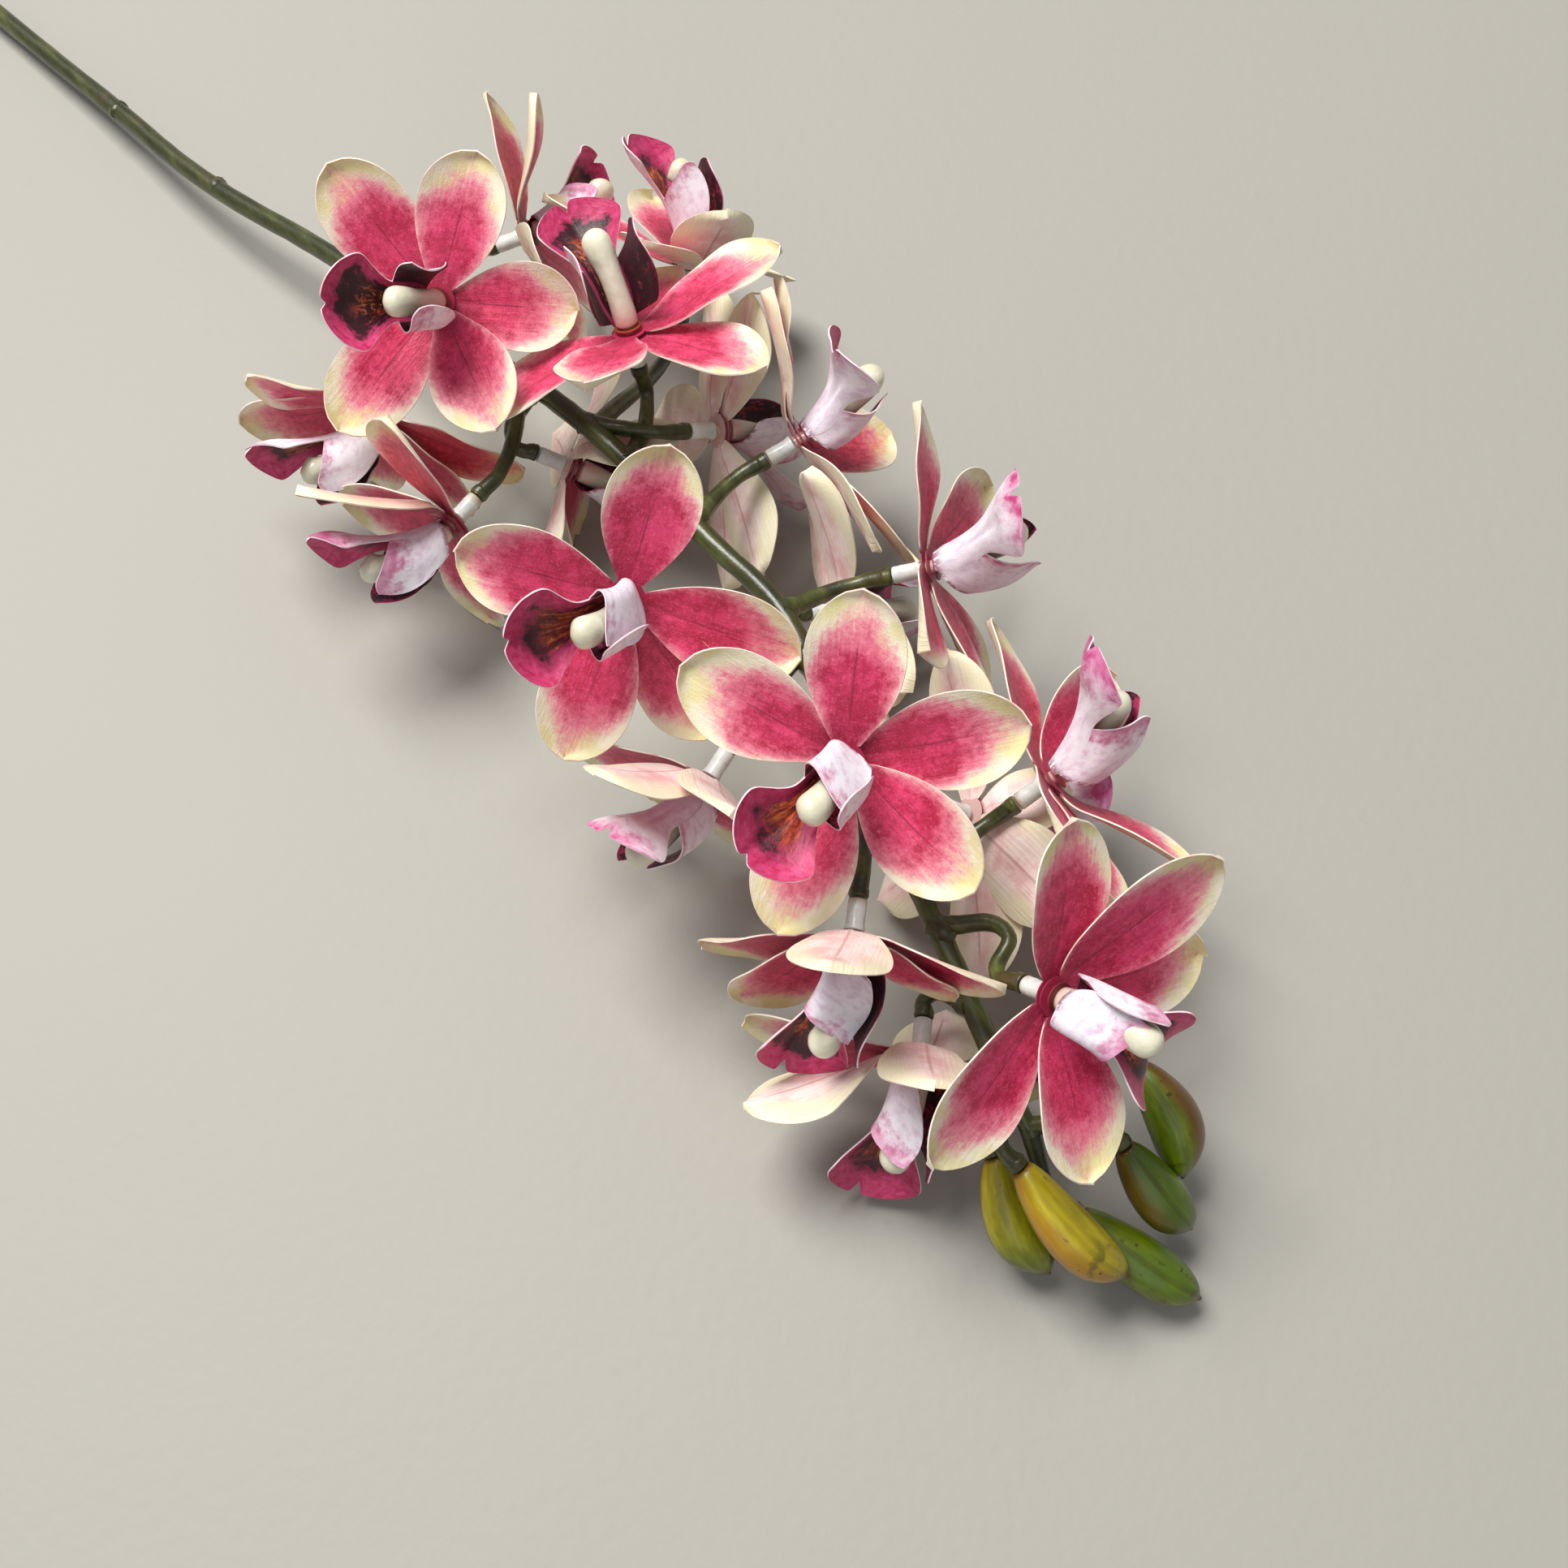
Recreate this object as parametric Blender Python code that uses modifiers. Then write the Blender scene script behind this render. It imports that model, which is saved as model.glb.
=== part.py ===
"""Cymbidium orchid spike, cut and laid down on a table: a moulded green stem with short flower
stalks, nineteen blooms made of sheet tepals, a sheet lip and a moulded column, and five buds.
Metres, +Z up, +X from the cut end to the bud tips."""
import math

import bmesh
import bpy
from mathutils import Matrix, Vector
from mathutils.bvhtree import BVHTree

MM = 0.001

# Sheet parts.
SHEET = 0.7 * MM
TEPAL_WIDTH = 19 * MM
TEPAL_FOOT = 3.3 * MM
LIP_FOOT = 2.7 * MM
TEPAL_ROOT = 0.27
TEPAL_WIDEST = 0.58
TEPAL_EASE = 0.2
TEPAL_CURL = -15
TEPAL_CUP = 0.10
LIP_LENGTH = 29 * MM
LIP_LEAN = 68
LIP_CURL = -50
# Lip from root to tip: share of the length, half width in mm, and wrap round the column in degrees.
LIP_STATIONS = ((0, 3.0, 75), (0.3, 9.0, 110), (0.55, 5.0, 40), (0.8, 10.0, 14), (1, 6.0, 8))
GAP = 0.35 * MM

# The punched hearts of the sheets, threaded on the column's shank: height above the hub.
HEART_RADIUS = 4.7 * MM
LIP_HEART_RADIUS = 3.7 * MM
HEART_HOLE = 2.15 * MM
JOINED_HOLE = 1.1 * MM
TEPAL_HEART = (-0.4 * MM, 1.4 * MM)
INNER_LAYER = 1.0 * MM
LIP_HEART = (1.75 * MM, 2.6 * MM)

# Column with its shank and collar.
COLLAR_END = -7.2 * MM
COLLAR_RADIUS = 1.9 * MM
SHANK_RADIUS = 1.5 * MM
COLUMN_LENGTH = 21 * MM
COLUMN_RADIUS = 2.5 * MM

# Stem and stalks.
STEM_RADIUS = 2.4 * MM
RACHIS_RADIUS = 2.3 * MM
STALK_RADIUS = 1.55 * MM
STALK_ROOT = 2.1 * MM
BUD_RADIUS = 5.4 * MM

# Points of the stem's middle line from the cut end, millimetres.
STEM_LINE = (
    (-510, -64, 2.6), (-450, -54, 2.8), (-385, -43, 3.2), (-315, -32, 5), (-260, -24, 9),
    (-222, -19, 13), (-173, -8, 21), (-126, -1, 31), (-93, 5, 38), (-65, 8, 41), (-39, 10, 41),
    (-17, 12, 40), (-3, 9, 40), (23, 2, 38), (48, -3, 36), (56, -5, 35), (73, -9, 31),
    (89, -13, 27), (98, -14, 24),
)
# Leaf scars on the stem: place on the middle line, and the side that it bulges to in degrees.
STEM_SCARS = ((-470, 200), (-385, 20), (-260, 200), (-216, 190))

# Blooms: hub in millimetres; azimuth and elevation that the bloom faces; direction of the lip;
# outer tepals and inner tepals as (direction, length in mm, lean forward). Directions are degrees
# in the bloom's own plane, from its level axis, with 90 the way up. Last, the place along X where
# its stalk leaves the stem.
BLOOMS = {
    "a": ((-115, -7, 58), -35, 50, 180, ((355, 27, 2), (125, 32, 16), (230, 32, 18)),
          ((70, 29, 12), (295, 29, 20)), -118),
    "b": ((-86, 23, 53), 170, 65, 275, ((125, 31, -5), (355, 35, 3), (240, 31, 20)),
          ((170, 34, 22), (55, 30, 16)), -66),
    "g": ((-28, -18, 60), -40, 40, 185, ((75, 29, 5), (165, 31, 8), (305, 30, 8)),
          ((345, 33, 12), (250, 31, 20)), -45),
    "h": ((27, -6, 62), -45, 45, 220, ((20, 32, 8), (155, 32, 6), (255, 32, 28)),
          ((90, 30, 5), (325, 31, 22)), -3),
    "p": ((84, -2, 52), 10, 40, 287, ((55, 31, 12), (190, 35, 5), (330, 31, 12)),
          ((10, 36, 32), (240, 32, 20)), 56, (67, 3, 41)),
    "i": ((-5, 41, 44), 55, 20, 90, ((30, 31, 14), (150, 31, 8), (240, 31, 12)),
          ((330, 31, 26), (210, 31, 26)), -17),
    "j": ((48, 29, 44), 80, 30, 55, ((0, 33, 16), (160, 31, 6), (125, 31, 8)),
          ((310, 31, 24), (200, 31, 26)), 45),
    "k": ((-47, 39, 44), 80, 15, 80, ((20, 33, 15), (175, 31, 4), (280, 31, 50)),
          ((35, 29, 45), (205, 34, 20)), -45),
    "n": ((51, -22, 45), -45, -10, 237, ((210, 31, 8), (5, 27, 10), (95, 30, 30)),
          ((230, 31, 24), (335, 31, 40)), 23),
    "f": ((-81, -29, 34), -75, -5, 155, ((105, 31, 5), (200, 29, 10), (240, 27, 12)),
          ((130, 33, 45), (280, 31, 12)), -102),
    "l": ((-66, 31, 34), 75, -25, 250, ((20, 31, 20), (315, 31, 10), (198, 31, 8)),
          ((65, 28, 45), (228, 33, 12)), -83),
    "m": ((5, -23, 38), -70, -10, 110, ((190, 31, 20), (60, 27, 22), (285, 29, 8)),
          ((110, 31, 50), (240, 29, 12)), -7),
    "c": ((-107, 53, 36), 125, 55, 355, ((15, 34, 32), (240, 31, -8), (125, 24, 55)),
          ((305, 31, 15), (80, 24, 60)), -79),
    "e": ((-116, -26, 32), -65, -5, 160, ((185, 31, 36), (350, 31, -8), (250, 29, 10)),
          ((140, 28, 45), (310, 28, 5)), -126),
    "o": ((72, -21, 23.5), -45, 4, 245, ((85, 31, 42), (195, 34, 5), (285, 25, -45)),
          ((176, 33, 32), (338, 29, 10)), 72),
    "d": ((-139, 28, 34), 60, 20, 355, ((30, 31, 5), (280, 31, 10), (160, 24, 30)),
          ((65, 31, 38), (215, 27, 10)), -131),
    "q": ((40, 17, 30), 55, -40, 55, ((15, 31, 15), (145, 29, 15), (255, 28, 10)),
          ((85, 27, 50), (190, 31, 15)), 39),
    "r": ((-16, 27, 26), 70, -22, 300, ((45, 29, -10), (160, 26, 10), (275, 24, 20)),
          ((350, 28, 15), (210, 29, 10)), -9),
    "t": ((-82, 1, 28), 45, -26, 275, ((210, 31, 5), (315, 29, 5), (65, 28, 50)),
          ((270, 26, 30), (0, 28, 25)), -99),
}
# Blooms that others give way to, and how much they bend themselves.
STIFF = {"a": 0.2, "b": 0.2, "g": 0.2, "h": 0.2, "p": 0.2, "i": 0.5, "j": 0.5, "k": 0.5, "n": 0.5}
# Blooms under the spike, whose lip and column hold together as one body.
JOINED = ("q", "r", "t")

# Buds: root and tip in millimetres.
BUDS = (
    ((96, -21.5, 20), (118, -26, 7)), ((102, -21, 28), (129, -17, 15)), ((114, -14, 13), (140, -5, 6)),
    ((110, -1, 22), (129, 1, 11)), ((100, 11, 25), (121, 8, 14)),
)


def millimetres(values):
    """Vector in metres from three values in millimetres."""
    return Vector(values) * MM


def stem_point(x):
    """Point of the stem's middle line at a place along X, in metres."""
    for a, b in zip(STEM_LINE, STEM_LINE[1:]):
        if a[0] <= x <= b[0]:
            return millimetres(a).lerp(millimetres(b), (x - a[0]) / (b[0] - a[0]))
    return millimetres(STEM_LINE[-1])


def bloom_matrix(hub, azimuth, elevation):
    """Bloom's own axes: X level, Y the way up, Z the way it faces."""
    a, e = math.radians(azimuth), math.radians(elevation)
    face = Vector((math.cos(e) * math.cos(a), math.cos(e) * math.sin(a), math.sin(e)))
    level = Vector((-math.sin(a), math.cos(a), 0))
    turn = Matrix((level, face.cross(level), face)).transposed()
    return Matrix.Translation(millimetres(hub)) @ turn.to_4x4()


def width_share(t):
    """Width of a tepal's outline at t of its length, as a share of its greatest width."""
    if t < TEPAL_WIDEST:
        return TEPAL_ROOT + (1 - TEPAL_ROOT) * math.sin(math.pi / 2 * t / TEPAL_WIDEST)
    return max(1 - ((t - TEPAL_WIDEST) / (1 - TEPAL_WIDEST)) ** 2.2, 0.0) ** 0.62


class Blade:
    """A sheet that leaves the hub in a direction, leans forward and curls over its length."""
    rows, columns = 4, 2

    def __init__(self, matrix, direction, length, width, lean, curl, height):
        self.matrix, self.direction, self.length, self.width = matrix, direction, length, width
        self.lean, self.curl, self.height = lean, curl, height
        self.bend = 0.0

    def start(self):
        """Distance from the hub's axis at which the sheet begins."""
        return TEPAL_FOOT

    def slope(self, share):
        """Slope of the middle line; a tepal leaves its heart flat and then leans."""
        lean = (self.lean + self.bend) * min(share / TEPAL_EASE, 1)
        return math.radians(lean + self.curl * share ** 1.3)

    def section(self, t, side):
        """Distance across and rise of the sheet at t of the length, side from -1 to 1."""
        across = side * width_share(t) * self.width / 2
        rise = TEPAL_CUP * self.width * side * side * math.sin(math.pi / 2 * min(t / 0.75, 1))
        return across, rise

    def point(self, t, side):
        """Local point at t of the length and side from -1 to 1 across it."""
        out, up, steps = self.start(), self.height, 12
        for i in range(steps):
            slope = self.slope(t * (i + 0.5) / steps)
            out += math.cos(slope) * self.length * t / steps
            up += math.sin(slope) * self.length * t / steps
        slope = self.slope(t)
        across, rise = self.section(t, side)
        y, z = out - rise * math.sin(slope), up + rise * math.cos(slope)
        turn = math.radians(self.direction)
        c, s = math.cos(turn), math.sin(turn)
        return self.resting(Vector((y * c + across * s, y * s - across * c, z)))

    def resting(self, local):
        """What would go under the table lies flat on it."""
        world = self.matrix @ local
        floor = SHEET / 2 + 0.03 * MM
        if world.z >= floor:
            return local
        world.z = floor
        return self.matrix.inverted() @ world

    def grid(self):
        """World points of the sheet, row by row, three in a row."""
        rows = self.rows
        return [[self.matrix @ self.point(i / rows, s) for s in (-1, 0, 1)] for i in range(rows + 1)]


class Lip(Blade):
    """Three-lobed sheet: side lobes wrapped round the column, a waist, and a broad end."""
    rows, columns = 4, 4

    def start(self):
        return LIP_FOOT

    def slope(self, share):
        return math.radians(self.lean + self.curl * share)

    def section(self, t, side):
        """Arc across the lip at a height between two stations."""
        for (t0, w0, a0), (t1, w1, a1) in zip(LIP_STATIONS, LIP_STATIONS[1:]):
            if t <= t1:
                break
        share = (t - t0) / (t1 - t0)
        half = (w0 + (w1 - w0) * share) * MM
        wrap = math.radians(a0 + (a1 - a0) * share)
        return half / wrap * math.sin(side * wrap), half / wrap * (1 - math.cos(side * wrap))


def blade_object(name, blade, parent):
    """Grid laid along the blade and thickened, both faces split alike."""
    bm = bmesh.new()
    bmesh.ops.create_grid(bm, x_segments=blade.columns, y_segments=blade.rows, size=0.5)
    for v in bm.verts:
        v.co = blade.point(v.co.y + 0.5, 2 * v.co.x)
    bmesh.ops.triangulate(bm, faces=bm.faces, quad_method="FIXED")
    ob = new_object(name, bm, parent)
    thick = ob.modifiers.new("thickness", "SOLIDIFY")
    thick.thickness = SHEET
    thick.offset = 0
    return ob


def heart_object(name, heart, radius, parent, hole=HEART_HOLE):
    """Washer that a bloom's sheets grow from, with the hole for the column's shank."""
    low, high = heart
    bm = bmesh.new()
    bmesh.ops.create_circle(bm, segments=6, radius=radius)
    bmesh.ops.create_circle(bm, segments=6, radius=hole)
    bmesh.ops.bridge_loops(bm, edges=bm.edges)
    top = bmesh.ops.extrude_face_region(bm, geom=bm.faces[:])["geom"]
    for v in bm.verts:
        v.co.z = low
    for v in top:
        if isinstance(v, bmesh.types.BMVert):
            v.co.z = high
    bmesh.ops.recalc_face_normals(bm, faces=bm.faces)
    return new_object(name, bm, parent)


def new_object(name, bm, parent=None):
    """Object in the spike's collection from a bmesh."""
    mesh = bpy.data.meshes.new(name)
    bm.to_mesh(mesh)
    bm.free()
    ob = bpy.data.objects.new(name, mesh)
    spike.objects.link(ob)
    ob.parent = parent
    return ob


def tube(name, line, radii, parent, resolution, smooth):
    """Bevelled curve through points with a radius at each, as a closed mesh."""
    data = bpy.data.curves.new(name, "CURVE")
    data.dimensions = "3D"
    data.bevel_depth = 1.0
    data.bevel_resolution = resolution
    data.use_fill_caps = True
    data.resolution_u = 2
    spline = data.splines.new("BEZIER" if smooth else "POLY")
    points = spline.bezier_points if smooth else spline.points
    points.add(len(line) - 1)
    for p, co, radius in zip(points, line, radii):
        p.radius = radius
        if smooth:
            p.co = co
            p.handle_left_type = p.handle_right_type = "AUTO"
        else:
            p.co = (co.x, co.y, co.z, 1)
    curve = bpy.data.objects.new(name + "_line", data)
    spike.objects.link(curve)
    bpy.context.view_layer.update()
    mesh = bpy.data.meshes.new_from_object(curve.evaluated_get(bpy.context.evaluated_depsgraph_get()))
    bpy.data.objects.remove(curve)
    bm = bmesh.new()
    bm.from_mesh(mesh)
    bmesh.ops.remove_doubles(bm, verts=bm.verts, dist=0.00005)
    bmesh.ops.triangulate(bm, faces=bm.faces)
    bmesh.ops.recalc_face_normals(bm, faces=bm.faces)
    return new_object(name, bm, parent)


def drop_scraps(bm):
    """Keep the largest closed body: loose scraps and sealed hollows go."""
    left, bodies = set(bm.verts), []
    while left:
        body, front = set(), [next(iter(left))]
        while front:
            v = front.pop()
            if v not in body:
                body.add(v)
                front += [e.other_vert(v) for e in v.link_edges]
        left -= body
        bodies.append(body)
    bodies.sort(key=len)
    for body in bodies[:-1]:
        bmesh.ops.delete(bm, geom=list(body), context="VERTS")


def join(ob, others, solver):
    """One Boolean union of an object with a collection of others, applied."""
    group = bpy.data.collections.new(ob.name + "_union")
    bpy.context.scene.collection.children.link(group)
    for other in others:
        group.objects.link(other)
        spike.objects.unlink(other)
    union = ob.modifiers.new("union", "BOOLEAN")
    union.operation = "UNION"
    union.operand_type = "COLLECTION"
    union.collection = group
    union.solver = solver
    bpy.context.view_layer.update()
    mesh = bpy.data.meshes.new_from_object(ob.evaluated_get(bpy.context.evaluated_depsgraph_get()))
    ob.modifiers.clear()
    bm = bmesh.new()
    bm.from_mesh(mesh)
    drop_scraps(bm)
    bmesh.ops.dissolve_limit(bm, angle_limit=math.radians(0.3), verts=bm.verts, edges=bm.edges)
    bmesh.ops.triangulate(bm, faces=bm.faces)
    bm.to_mesh(ob.data)
    bm.free()
    for other in others:
        bpy.data.objects.remove(other)
    bpy.data.collections.remove(group)
    return ob


def paint(ob, kind):
    """Plain material of a kind of piece, made once."""
    colour, roughness = KINDS[kind]
    mat = bpy.data.materials.get(kind) or bpy.data.materials.new(kind)
    mat.use_nodes = True
    shader = mat.node_tree.nodes["Principled BSDF"]
    shader.inputs["Base Color"].default_value = (*colour, 1)
    shader.inputs["Roughness"].default_value = roughness
    shader.inputs["Metallic"].default_value = 0
    ob.data.materials.clear()
    ob.data.materials.append(mat)


KINDS = {
    "tepal_fabric": ((0.62, 0.09, 0.16), 0.55),
    "lip_fabric": ((0.55, 0.08, 0.22), 0.5),
    "column_plastic": ((0.82, 0.80, 0.66), 0.3),
    "stem_plastic": ((0.13, 0.16, 0.05), 0.35),
    "bud_plastic": ((0.42, 0.46, 0.06), 0.35),
}


def column_object(letter, lip, parent):
    """Collar, shank and column in one moulding, arched over the lip."""
    line = [Vector((0, 0, z)) for z in (COLLAR_END, -1.1 * MM, -0.75 * MM, 3.0 * MM)]
    radii = [COLLAR_RADIUS, COLLAR_RADIUS, SHANK_RADIUS, SHANK_RADIUS]
    turn = math.radians(lip)
    way = Vector((math.cos(turn), math.sin(turn), 0))
    spot = line[-1].copy()
    before = 0.0
    for share, size in ((0.08, 0.84), (0.45, 0.88), (0.85, 1.0), (1.0, 0.5)):
        slope = math.radians(85 - 50 * share)
        rise = way * math.cos(slope) + Vector((0, 0, math.sin(slope)))
        spot = spot + rise * COLUMN_LENGTH * (share - before)
        before = share
        line.append(spot)
        radii.append(size * COLUMN_RADIUS)
    return tube("bloom_%s_column" % letter, line, radii, parent, 1, False)


def lip_object(letter, matrix, lip, parent):
    """Three-lobed sheet on its punched heart, tight round the shank where the two are one body."""
    hole = JOINED_HOLE if letter in JOINED else HEART_HOLE
    heart = heart_object("bloom_%s_lip" % letter, LIP_HEART, LIP_HEART_RADIUS, parent, hole)
    sheet = Lip(matrix, lip, LIP_LENGTH, 0, LIP_LEAN, LIP_CURL, sum(LIP_HEART) / 2)
    return join(heart, [blade_object(letter + "_lobes", sheet, parent)], "MANIFOLD")


def stalk(letter, matrix, root_x, via=None):
    """Stalk from the stem to the back of the collar, bent to meet it square."""
    root = stem_point(root_x)
    face = matrix.to_3x3() @ Vector((0, 0, 1))
    end = matrix @ Vector((0, 0, COLLAR_END - GAP))
    near = end - face * min(0.35 * (end - root).length, 8 * MM)
    line = [root, near, end]
    radii = [STALK_ROOT, STALK_RADIUS, 1.75 * MM]
    if via:
        line.insert(1, millimetres(via))
        radii.insert(1, STALK_RADIUS)
    return tube("stalk_" + letter, line, radii, None, 1, True)


def stem_object(matrices):
    """Stem, its leaf scars and every stalk as one moulding."""
    line = [millimetres(p) for p in STEM_LINE]
    radii = [STEM_RADIUS if p.x < -0.15 else RACHIS_RADIUS for p in line]
    radii[-1] = 0.7 * RACHIS_RADIUS
    stem = tube("stem", line, radii, None, 2, True)
    parts = [stalk(letter, matrices[letter], *BLOOMS[letter][6:]) for letter in BLOOMS]
    for i, (x, side) in enumerate(STEM_SCARS):
        at = stem_point(x)
        way = Vector((0.35, math.sin(math.radians(side)), 0.3)).normalized()
        parts.append(tube("scar_%d" % i, [at, at + way * 3.4 * MM], [2.2 * MM, 1.2 * MM], None, 1, False))
    for i, (root, tip) in enumerate(BUDS):
        end = millimetres(root)
        way = (millimetres(tip) - end).normalized()
        from_stem = stem_point(min(root[0] - 12, 96))
        line = [from_stem, end - way * 6 * MM, end - way * 0.6 * MM]
        parts.append(tube("bud_stalk_%d" % i, line, [1.9 * MM, 1.5 * MM, 1.8 * MM], None, 1, True))
    return join(stem, parts, "MANIFOLD")


def bud_object(number, root, tip):
    """Long bud, blunt at the stalk and pointed at the tip, sagging a little."""
    a, b = millimetres(root), millimetres(tip)
    line, radii = [], []
    for share, size in ((0, 0.42), (0.16, 0.78), (0.42, 1.0), (0.7, 0.86), (0.9, 0.48), (1, 0.12)):
        line.append(a.lerp(b, share) + Vector((0, 0, 1)) * 2.2 * MM * math.sin(math.pi * share))
        radii.append(size * BUD_RADIUS)
    return tube("bud_%d" % number, line, radii, None, 2, False)


def shell(grid, half):
    """Both faces and the rim of a sheet, as points and triangles."""
    rows = len(grid)
    front, back = [], []
    for i in range(rows):
        for j in range(3):
            out = grid[min(i + 1, rows - 1)][j] - grid[max(i - 1, 0)][j]
            across = grid[i][min(j + 1, 2)] - grid[i][max(j - 1, 0)]
            n = across.cross(out).normalized() if across.length > 1e-9 else Vector((0, 0, 1))
            front.append(grid[i][j] + n * half)
            back.append(grid[i][j] - n * half)
    size = len(front)
    faces = []
    for i in range(rows - 1):
        for j in range(2):
            a = 3 * i + j
            for tri in ((a, a + 1, a + 4), (a, a + 4, a + 3)):
                faces += [tri, tuple(size + k for k in reversed(tri))]
    ring = list(range(2, -1, -1)) + [3 * i for i in range(1, rows)]
    ring += [size - 2, size - 1] + [3 * i + 2 for i in range(rows - 2, 0, -1)]
    for a, b in zip(ring, ring[1:] + ring[:1]):
        faces += [(a, b, size + b), (a, size + b, size + a)]
    return front + back, faces


def solid_tree(ob):
    """World points of an object and a search tree of its faces."""
    mesh = ob.data
    points = [ob.matrix_world @ v.co for v in mesh.vertices]
    return points, BVHTree.FromPolygons(points, [tuple(p.vertices) for p in mesh.polygons])


def push(blade, contact, normal, away):
    """Bend that moves the contact to the root's side of the other surface: +1 or -1."""
    root = blade.matrix @ Vector((0, 0, blade.height))
    turn = math.radians(blade.direction)
    hinge = blade.matrix.to_3x3() @ Vector((math.sin(turn), -math.cos(turn), 0))
    speed = hinge.cross(contact - root).dot(normal)
    return math.copysign(1, speed) * math.copysign(1, away)


def clear(blades, solids):
    """Bend the tepals, a little at a time, until none is nearer than the gap to anything else."""
    half = SHEET / 2 + GAP / 2 + 0.06 * MM
    left = 0
    for step in range(90):
        shells = []
        for key, blade in blades:
            points, faces = shell(blade.grid(), half)
            middle = sum(points, Vector()) / len(points)
            shells.append((middle, points, faces, BVHTree.FromPolygons(points, faces)))
        moves = [0.0] * len(blades)
        hits = [0] * len(blades)

        def side(index, contact, normal, other_root):
            blade = blades[index][1]
            root = blade.matrix @ Vector((0, 0, blade.height))
            away = (root - other_root).dot(normal) if other_root else (root - contact).dot(normal)
            moves[index] += push(blade, contact, normal, away)
            hits[index] += 1

        for i, (key, blade) in enumerate(blades):
            mi, pi, fi, ti = shells[i]
            for j in range(i + 1, len(blades)):
                if blades[j][0] == key or (shells[j][0] - mi).length > 50 * MM:
                    continue
                pairs = ti.overlap(shells[j][3])
                if not pairs:
                    continue
                contact = sum((sum((pi[k] for k in fi[a]), Vector()) / 3 for a, b in pairs), Vector())
                contact /= len(pairs)
                ni = facing(blades[i][1], contact)
                nj = facing(blades[j][1], contact)
                roots = [b.matrix @ Vector((0, 0, b.height)) for b in (blades[i][1], blades[j][1])]
                flat = abs(ni.dot(nj)) > 0.85
                side(i, contact, nj, roots[1] if flat else None)
                side(j, contact, ni if not flat else nj, roots[0] if flat else None)
            for owner, points, tree in solids:
                if (points[0] - mi).length > 90 * MM and owner != "stem":
                    continue
                pairs = ti.overlap(tree)
                if not pairs:
                    continue
                if owner == key:
                    moves[i] -= 1
                    hits[i] += 1
                    continue
                contact = sum((sum((pi[k] for k in fi[a]), Vector()) / 3 for a, b in pairs), Vector())
                contact /= len(pairs)
                near = [p for p in points if (p - contact).length < 9 * MM] or points
                centre = sum(near, Vector()) / len(near)
                normal = facing(blade, contact)
                moves[i] += push(blade, contact, normal, (contact - centre).dot(normal))
                hits[i] += 1
        left = sum(1 for h in hits if h)
        if not left:
            break
        for i, (key, blade) in enumerate(blades):
            if not hits[i]:
                continue
            give = STIFF.get(key, 1.0)
            blade.bend += 2.0 * give * max(-1, min(1, moves[i]))
            if step > 45 and (give == 1 or step > 65):
                blade.length *= 0.975
                blade.width *= 0.985
    return left


def facing(blade, point):
    """Normal of a blade's sheet near a point."""
    grid = blade.grid()
    best = min(range(1, len(grid) - 1), key=lambda i: (grid[i][1] - point).length)
    out = grid[best + 1][1] - grid[best - 1][1]
    across = grid[best][2] - grid[best][0]
    return across.cross(out).normalized()


for old in list(bpy.data.objects):
    bpy.data.objects.remove(old)
spike = bpy.data.collections.new("orchid_spike")
bpy.context.scene.collection.children.link(spike)

# Each bloom's pieces hang from an empty at its hub.
matrices = {letter: bloom_matrix(*BLOOMS[letter][:3]) for letter in BLOOMS}
holders = {}
root = bpy.data.objects.new("orchid_spike", None)
spike.objects.link(root)
for letter, matrix in matrices.items():
    holder = bpy.data.objects.new("bloom_" + letter, None)
    spike.objects.link(holder)
    holder.parent = root
    holder.matrix_world = matrix
    holders[letter] = holder
bpy.context.view_layer.update()

stem = stem_object(matrices)
stem.parent = root
paint(stem, "stem_plastic")
solids = [("stem",) + solid_tree(stem)]
for number, (foot, tip) in enumerate(BUDS, 1):
    bud = bud_object(number, foot, tip)
    bud.parent = root
    paint(bud, "bud_plastic")
    solids.append(("bud",) + solid_tree(bud))
for letter, (hub, azimuth, elevation, lip, outer, inner, *route) in BLOOMS.items():
    column = column_object(letter, lip, holders[letter])
    lobes = lip_object(letter, matrices[letter], lip, holders[letter])
    if letter in JOINED:
        join(lobes, [column], "MANIFOLD")
    else:
        paint(column, "column_plastic")
    paint(lobes, "lip_fabric")
    bpy.context.view_layer.update()
    solids += [(letter,) + solid_tree(ob) for ob in holders[letter].children]

# Tepals, bent clear of everything else and of each other.
blades = []
for letter, (hub, azimuth, elevation, lip, outer, inner, *route) in BLOOMS.items():
    for layer, tepals in ((0, outer), (1, inner)):
        for direction, length, lean in tepals:
            blades.append((letter, Blade(matrices[letter], direction, length * MM, TEPAL_WIDTH, lean,
                                         TEPAL_CURL, INNER_LAYER * layer)))
print("tepals still touching:", clear(blades, solids))

for letter in BLOOMS:
    heart = heart_object("bloom_%s_tepals" % letter, TEPAL_HEART, HEART_RADIUS, holders[letter])
    own = [b for key, b in blades if key == letter]
    parts = [blade_object("%s_tepal_%d" % (letter, i), b, holders[letter]) for i, b in enumerate(own)]
    paint(join(heart, parts, "MANIFOLD"), "tepal_fabric")

# The whole spike is moved so that the origin is under the middle of its box.
bpy.context.view_layer.update()
points = [ob.matrix_world @ v.co for ob in spike.objects if ob.type == "MESH" for v in ob.data.vertices]
low = Vector([min(p[i] for p in points) for i in range(3)])
high = Vector([max(p[i] for p in points) for i in range(3)])
root.location = (-(low.x + high.x) / 2, -(low.y + high.y) / 2, -low.z)
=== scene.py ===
import math
import random

import bmesh
import bpy
import numpy as np
from mathutils import Matrix, Vector, noise


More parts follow.
